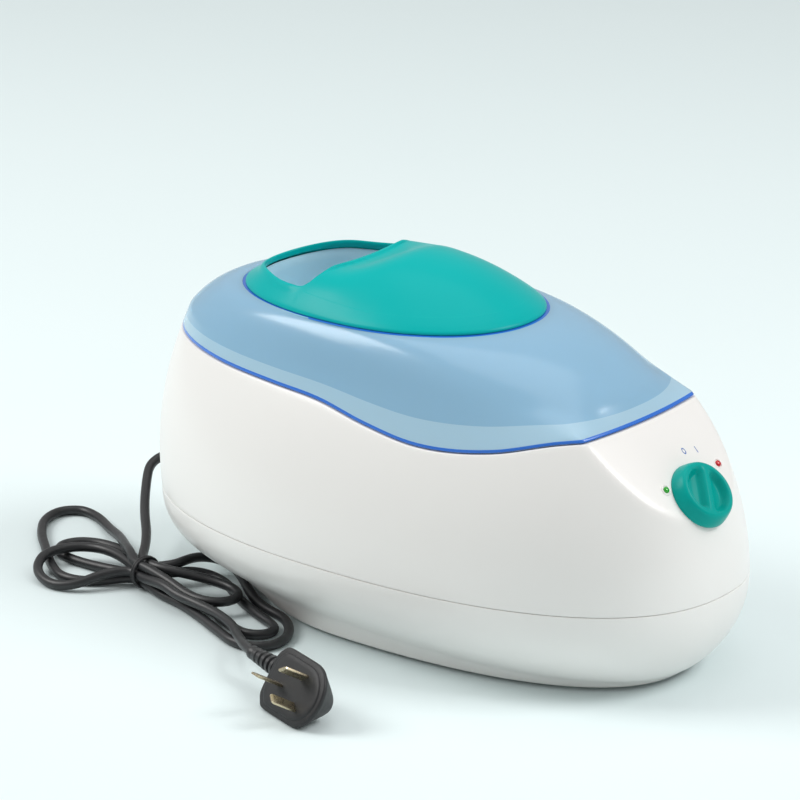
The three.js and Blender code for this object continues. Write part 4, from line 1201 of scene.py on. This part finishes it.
# ---------------------------------------------------------------- assembly
def add_lead(cord_mat, brass, black):
    """The mains lead with its gland, tie, sleeve, plug and pins, all put on the base."""
    plug_mat = plug_plastic()
    line = smooth_line(cord_route(), CORD_STEP)
    cord = stand_for(curve_object("mains_cord", line, CORD_RADIUS, cord_mat), "base", "cord",
                     "mains_cord_drop", "mains_cord_bundle", "mains_cord_tail")
    tie = stand_for(twist_tie(black), "base", "black", "twist_tie")
    boot = stand_for(plug_relief(cord_mat), "base", "cord", "plug_strain_relief")
    plug = stand_for(plug_body(plug_mat), "base", "plug", "plug_body")
    for node, (x, y, turn, length) in PINS.items():
        pin = plug_pin(node.replace("plug_", "") + "_blade", x, y, turn, length, brass)
        stand_for(pin, "base", "brass", node)
    gland = stand_for(cord_gland(cord_mat), "base", "cord", "cord_gland")
    print("cord length", round(line_length(line)), "mm")


def add_panel_pieces(white):
    green = lens_plastic("lens_green", (0.02, 0.46, 0.02))
    red = lens_plastic("lens_red", (0.72, 0.0, 0.008))
    for colour, (x, y), mat in (("green", GREEN_LENS, green), ("red", RED_LENS, red)):
        stand_for(lens(f"{colour}_jewel", x, y, mat), "base", colour, f"{colour}_lens")
        stand_for(bezel(f"{colour}_bezel", x, y, white), "base", "housing")
    print_blue = plain("print_blue", (0.1, 0.2, 0.5), 0.4, 0.5)
    stand_for(mark_ring("mark_off", *MARK_OFF, print_blue), "base", "black")
    stand_for(mark_bar("mark_on", *MARK_ON, print_blue), "base", "black")


def main():
    add_camera()
    cord_mat = cord_rubber()
    brass = metal("brass", (0.66, 0.57, 0.4), 0.2, 0.36)
    black = plain("black_nylon", (0.02, 0.02, 0.022), 0.4, 0.55)
    add_lead(cord_mat, brass, black)

    white = housing_plastic()
    stand_for(lower_housing(white), "base", "housing", "lower_housing")
    stand_for(upper_housing(white), "base", "housing", "upper_housing")
    lid_shell = lid(lid_plastic(), lid_edge_plastic(), lid_pocket_plastic(), lid_skirt_plastic())
    stand_for(lid_shell, "lid_assembly", "lid_blue", "lid")
    cap_teal = teal_plastic("cap_teal", (0.0, 0.41, 0.4), (0.0, 0.44, 0.43), 0.3)
    stand_for(handle_cap(cap_teal), "lid_assembly", "teal", "handle_cap")
    knob_teal = teal_plastic("knob_teal", (0.0, 0.33, 0.29), (0.0, 0.36, 0.32), 0.3)
    stand_for(knob(knob_teal), "control_knob", "teal", "knob")
    add_panel_pieces(white)

    rubber = plain("foot_rubber", (0.035, 0.035, 0.04), 0.6, 0.8, 260, 0.00008)
    for i in range(1, 5):
        stand_for(foot(f"foot_pad_{i}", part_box(f"foot_{i}"), rubber), "base", "foot", f"foot_{i}")

    dress_inner({
        "tank": metal("tank_aluminium", (0.72, 0.73, 0.74), 0.3, 0.45),
        "grid": plain("grid_white", (0.8, 0.8, 0.78), 0.4, 0.55),
        "silicone": plain("silicone", (0.66, 0.66, 0.63), 0.5, 0.65),
        "mica": plain("mica", (0.42, 0.33, 0.18), 0.5, 0.7),
        "fibre": plain("fibre_felt", (0.74, 0.7, 0.6), 0.9, 1.0, 400, 0.0004),
        "steel": metal("zinc_steel", (0.55, 0.55, 0.56), 0.3, 0.5),
        "bright": metal("nickel", (0.7, 0.69, 0.66), 0.12, 0.25),
        "brass": brass,
        "bakelite": plain("bakelite", (0.05, 0.03, 0.025), 0.35, 0.5),
        "black": black,
        "cord": cord_mat,
        "red_wire": plain("red_silicone", (0.42, 0.02, 0.02), 0.45, 0.6),
    })
    add_room()


main()
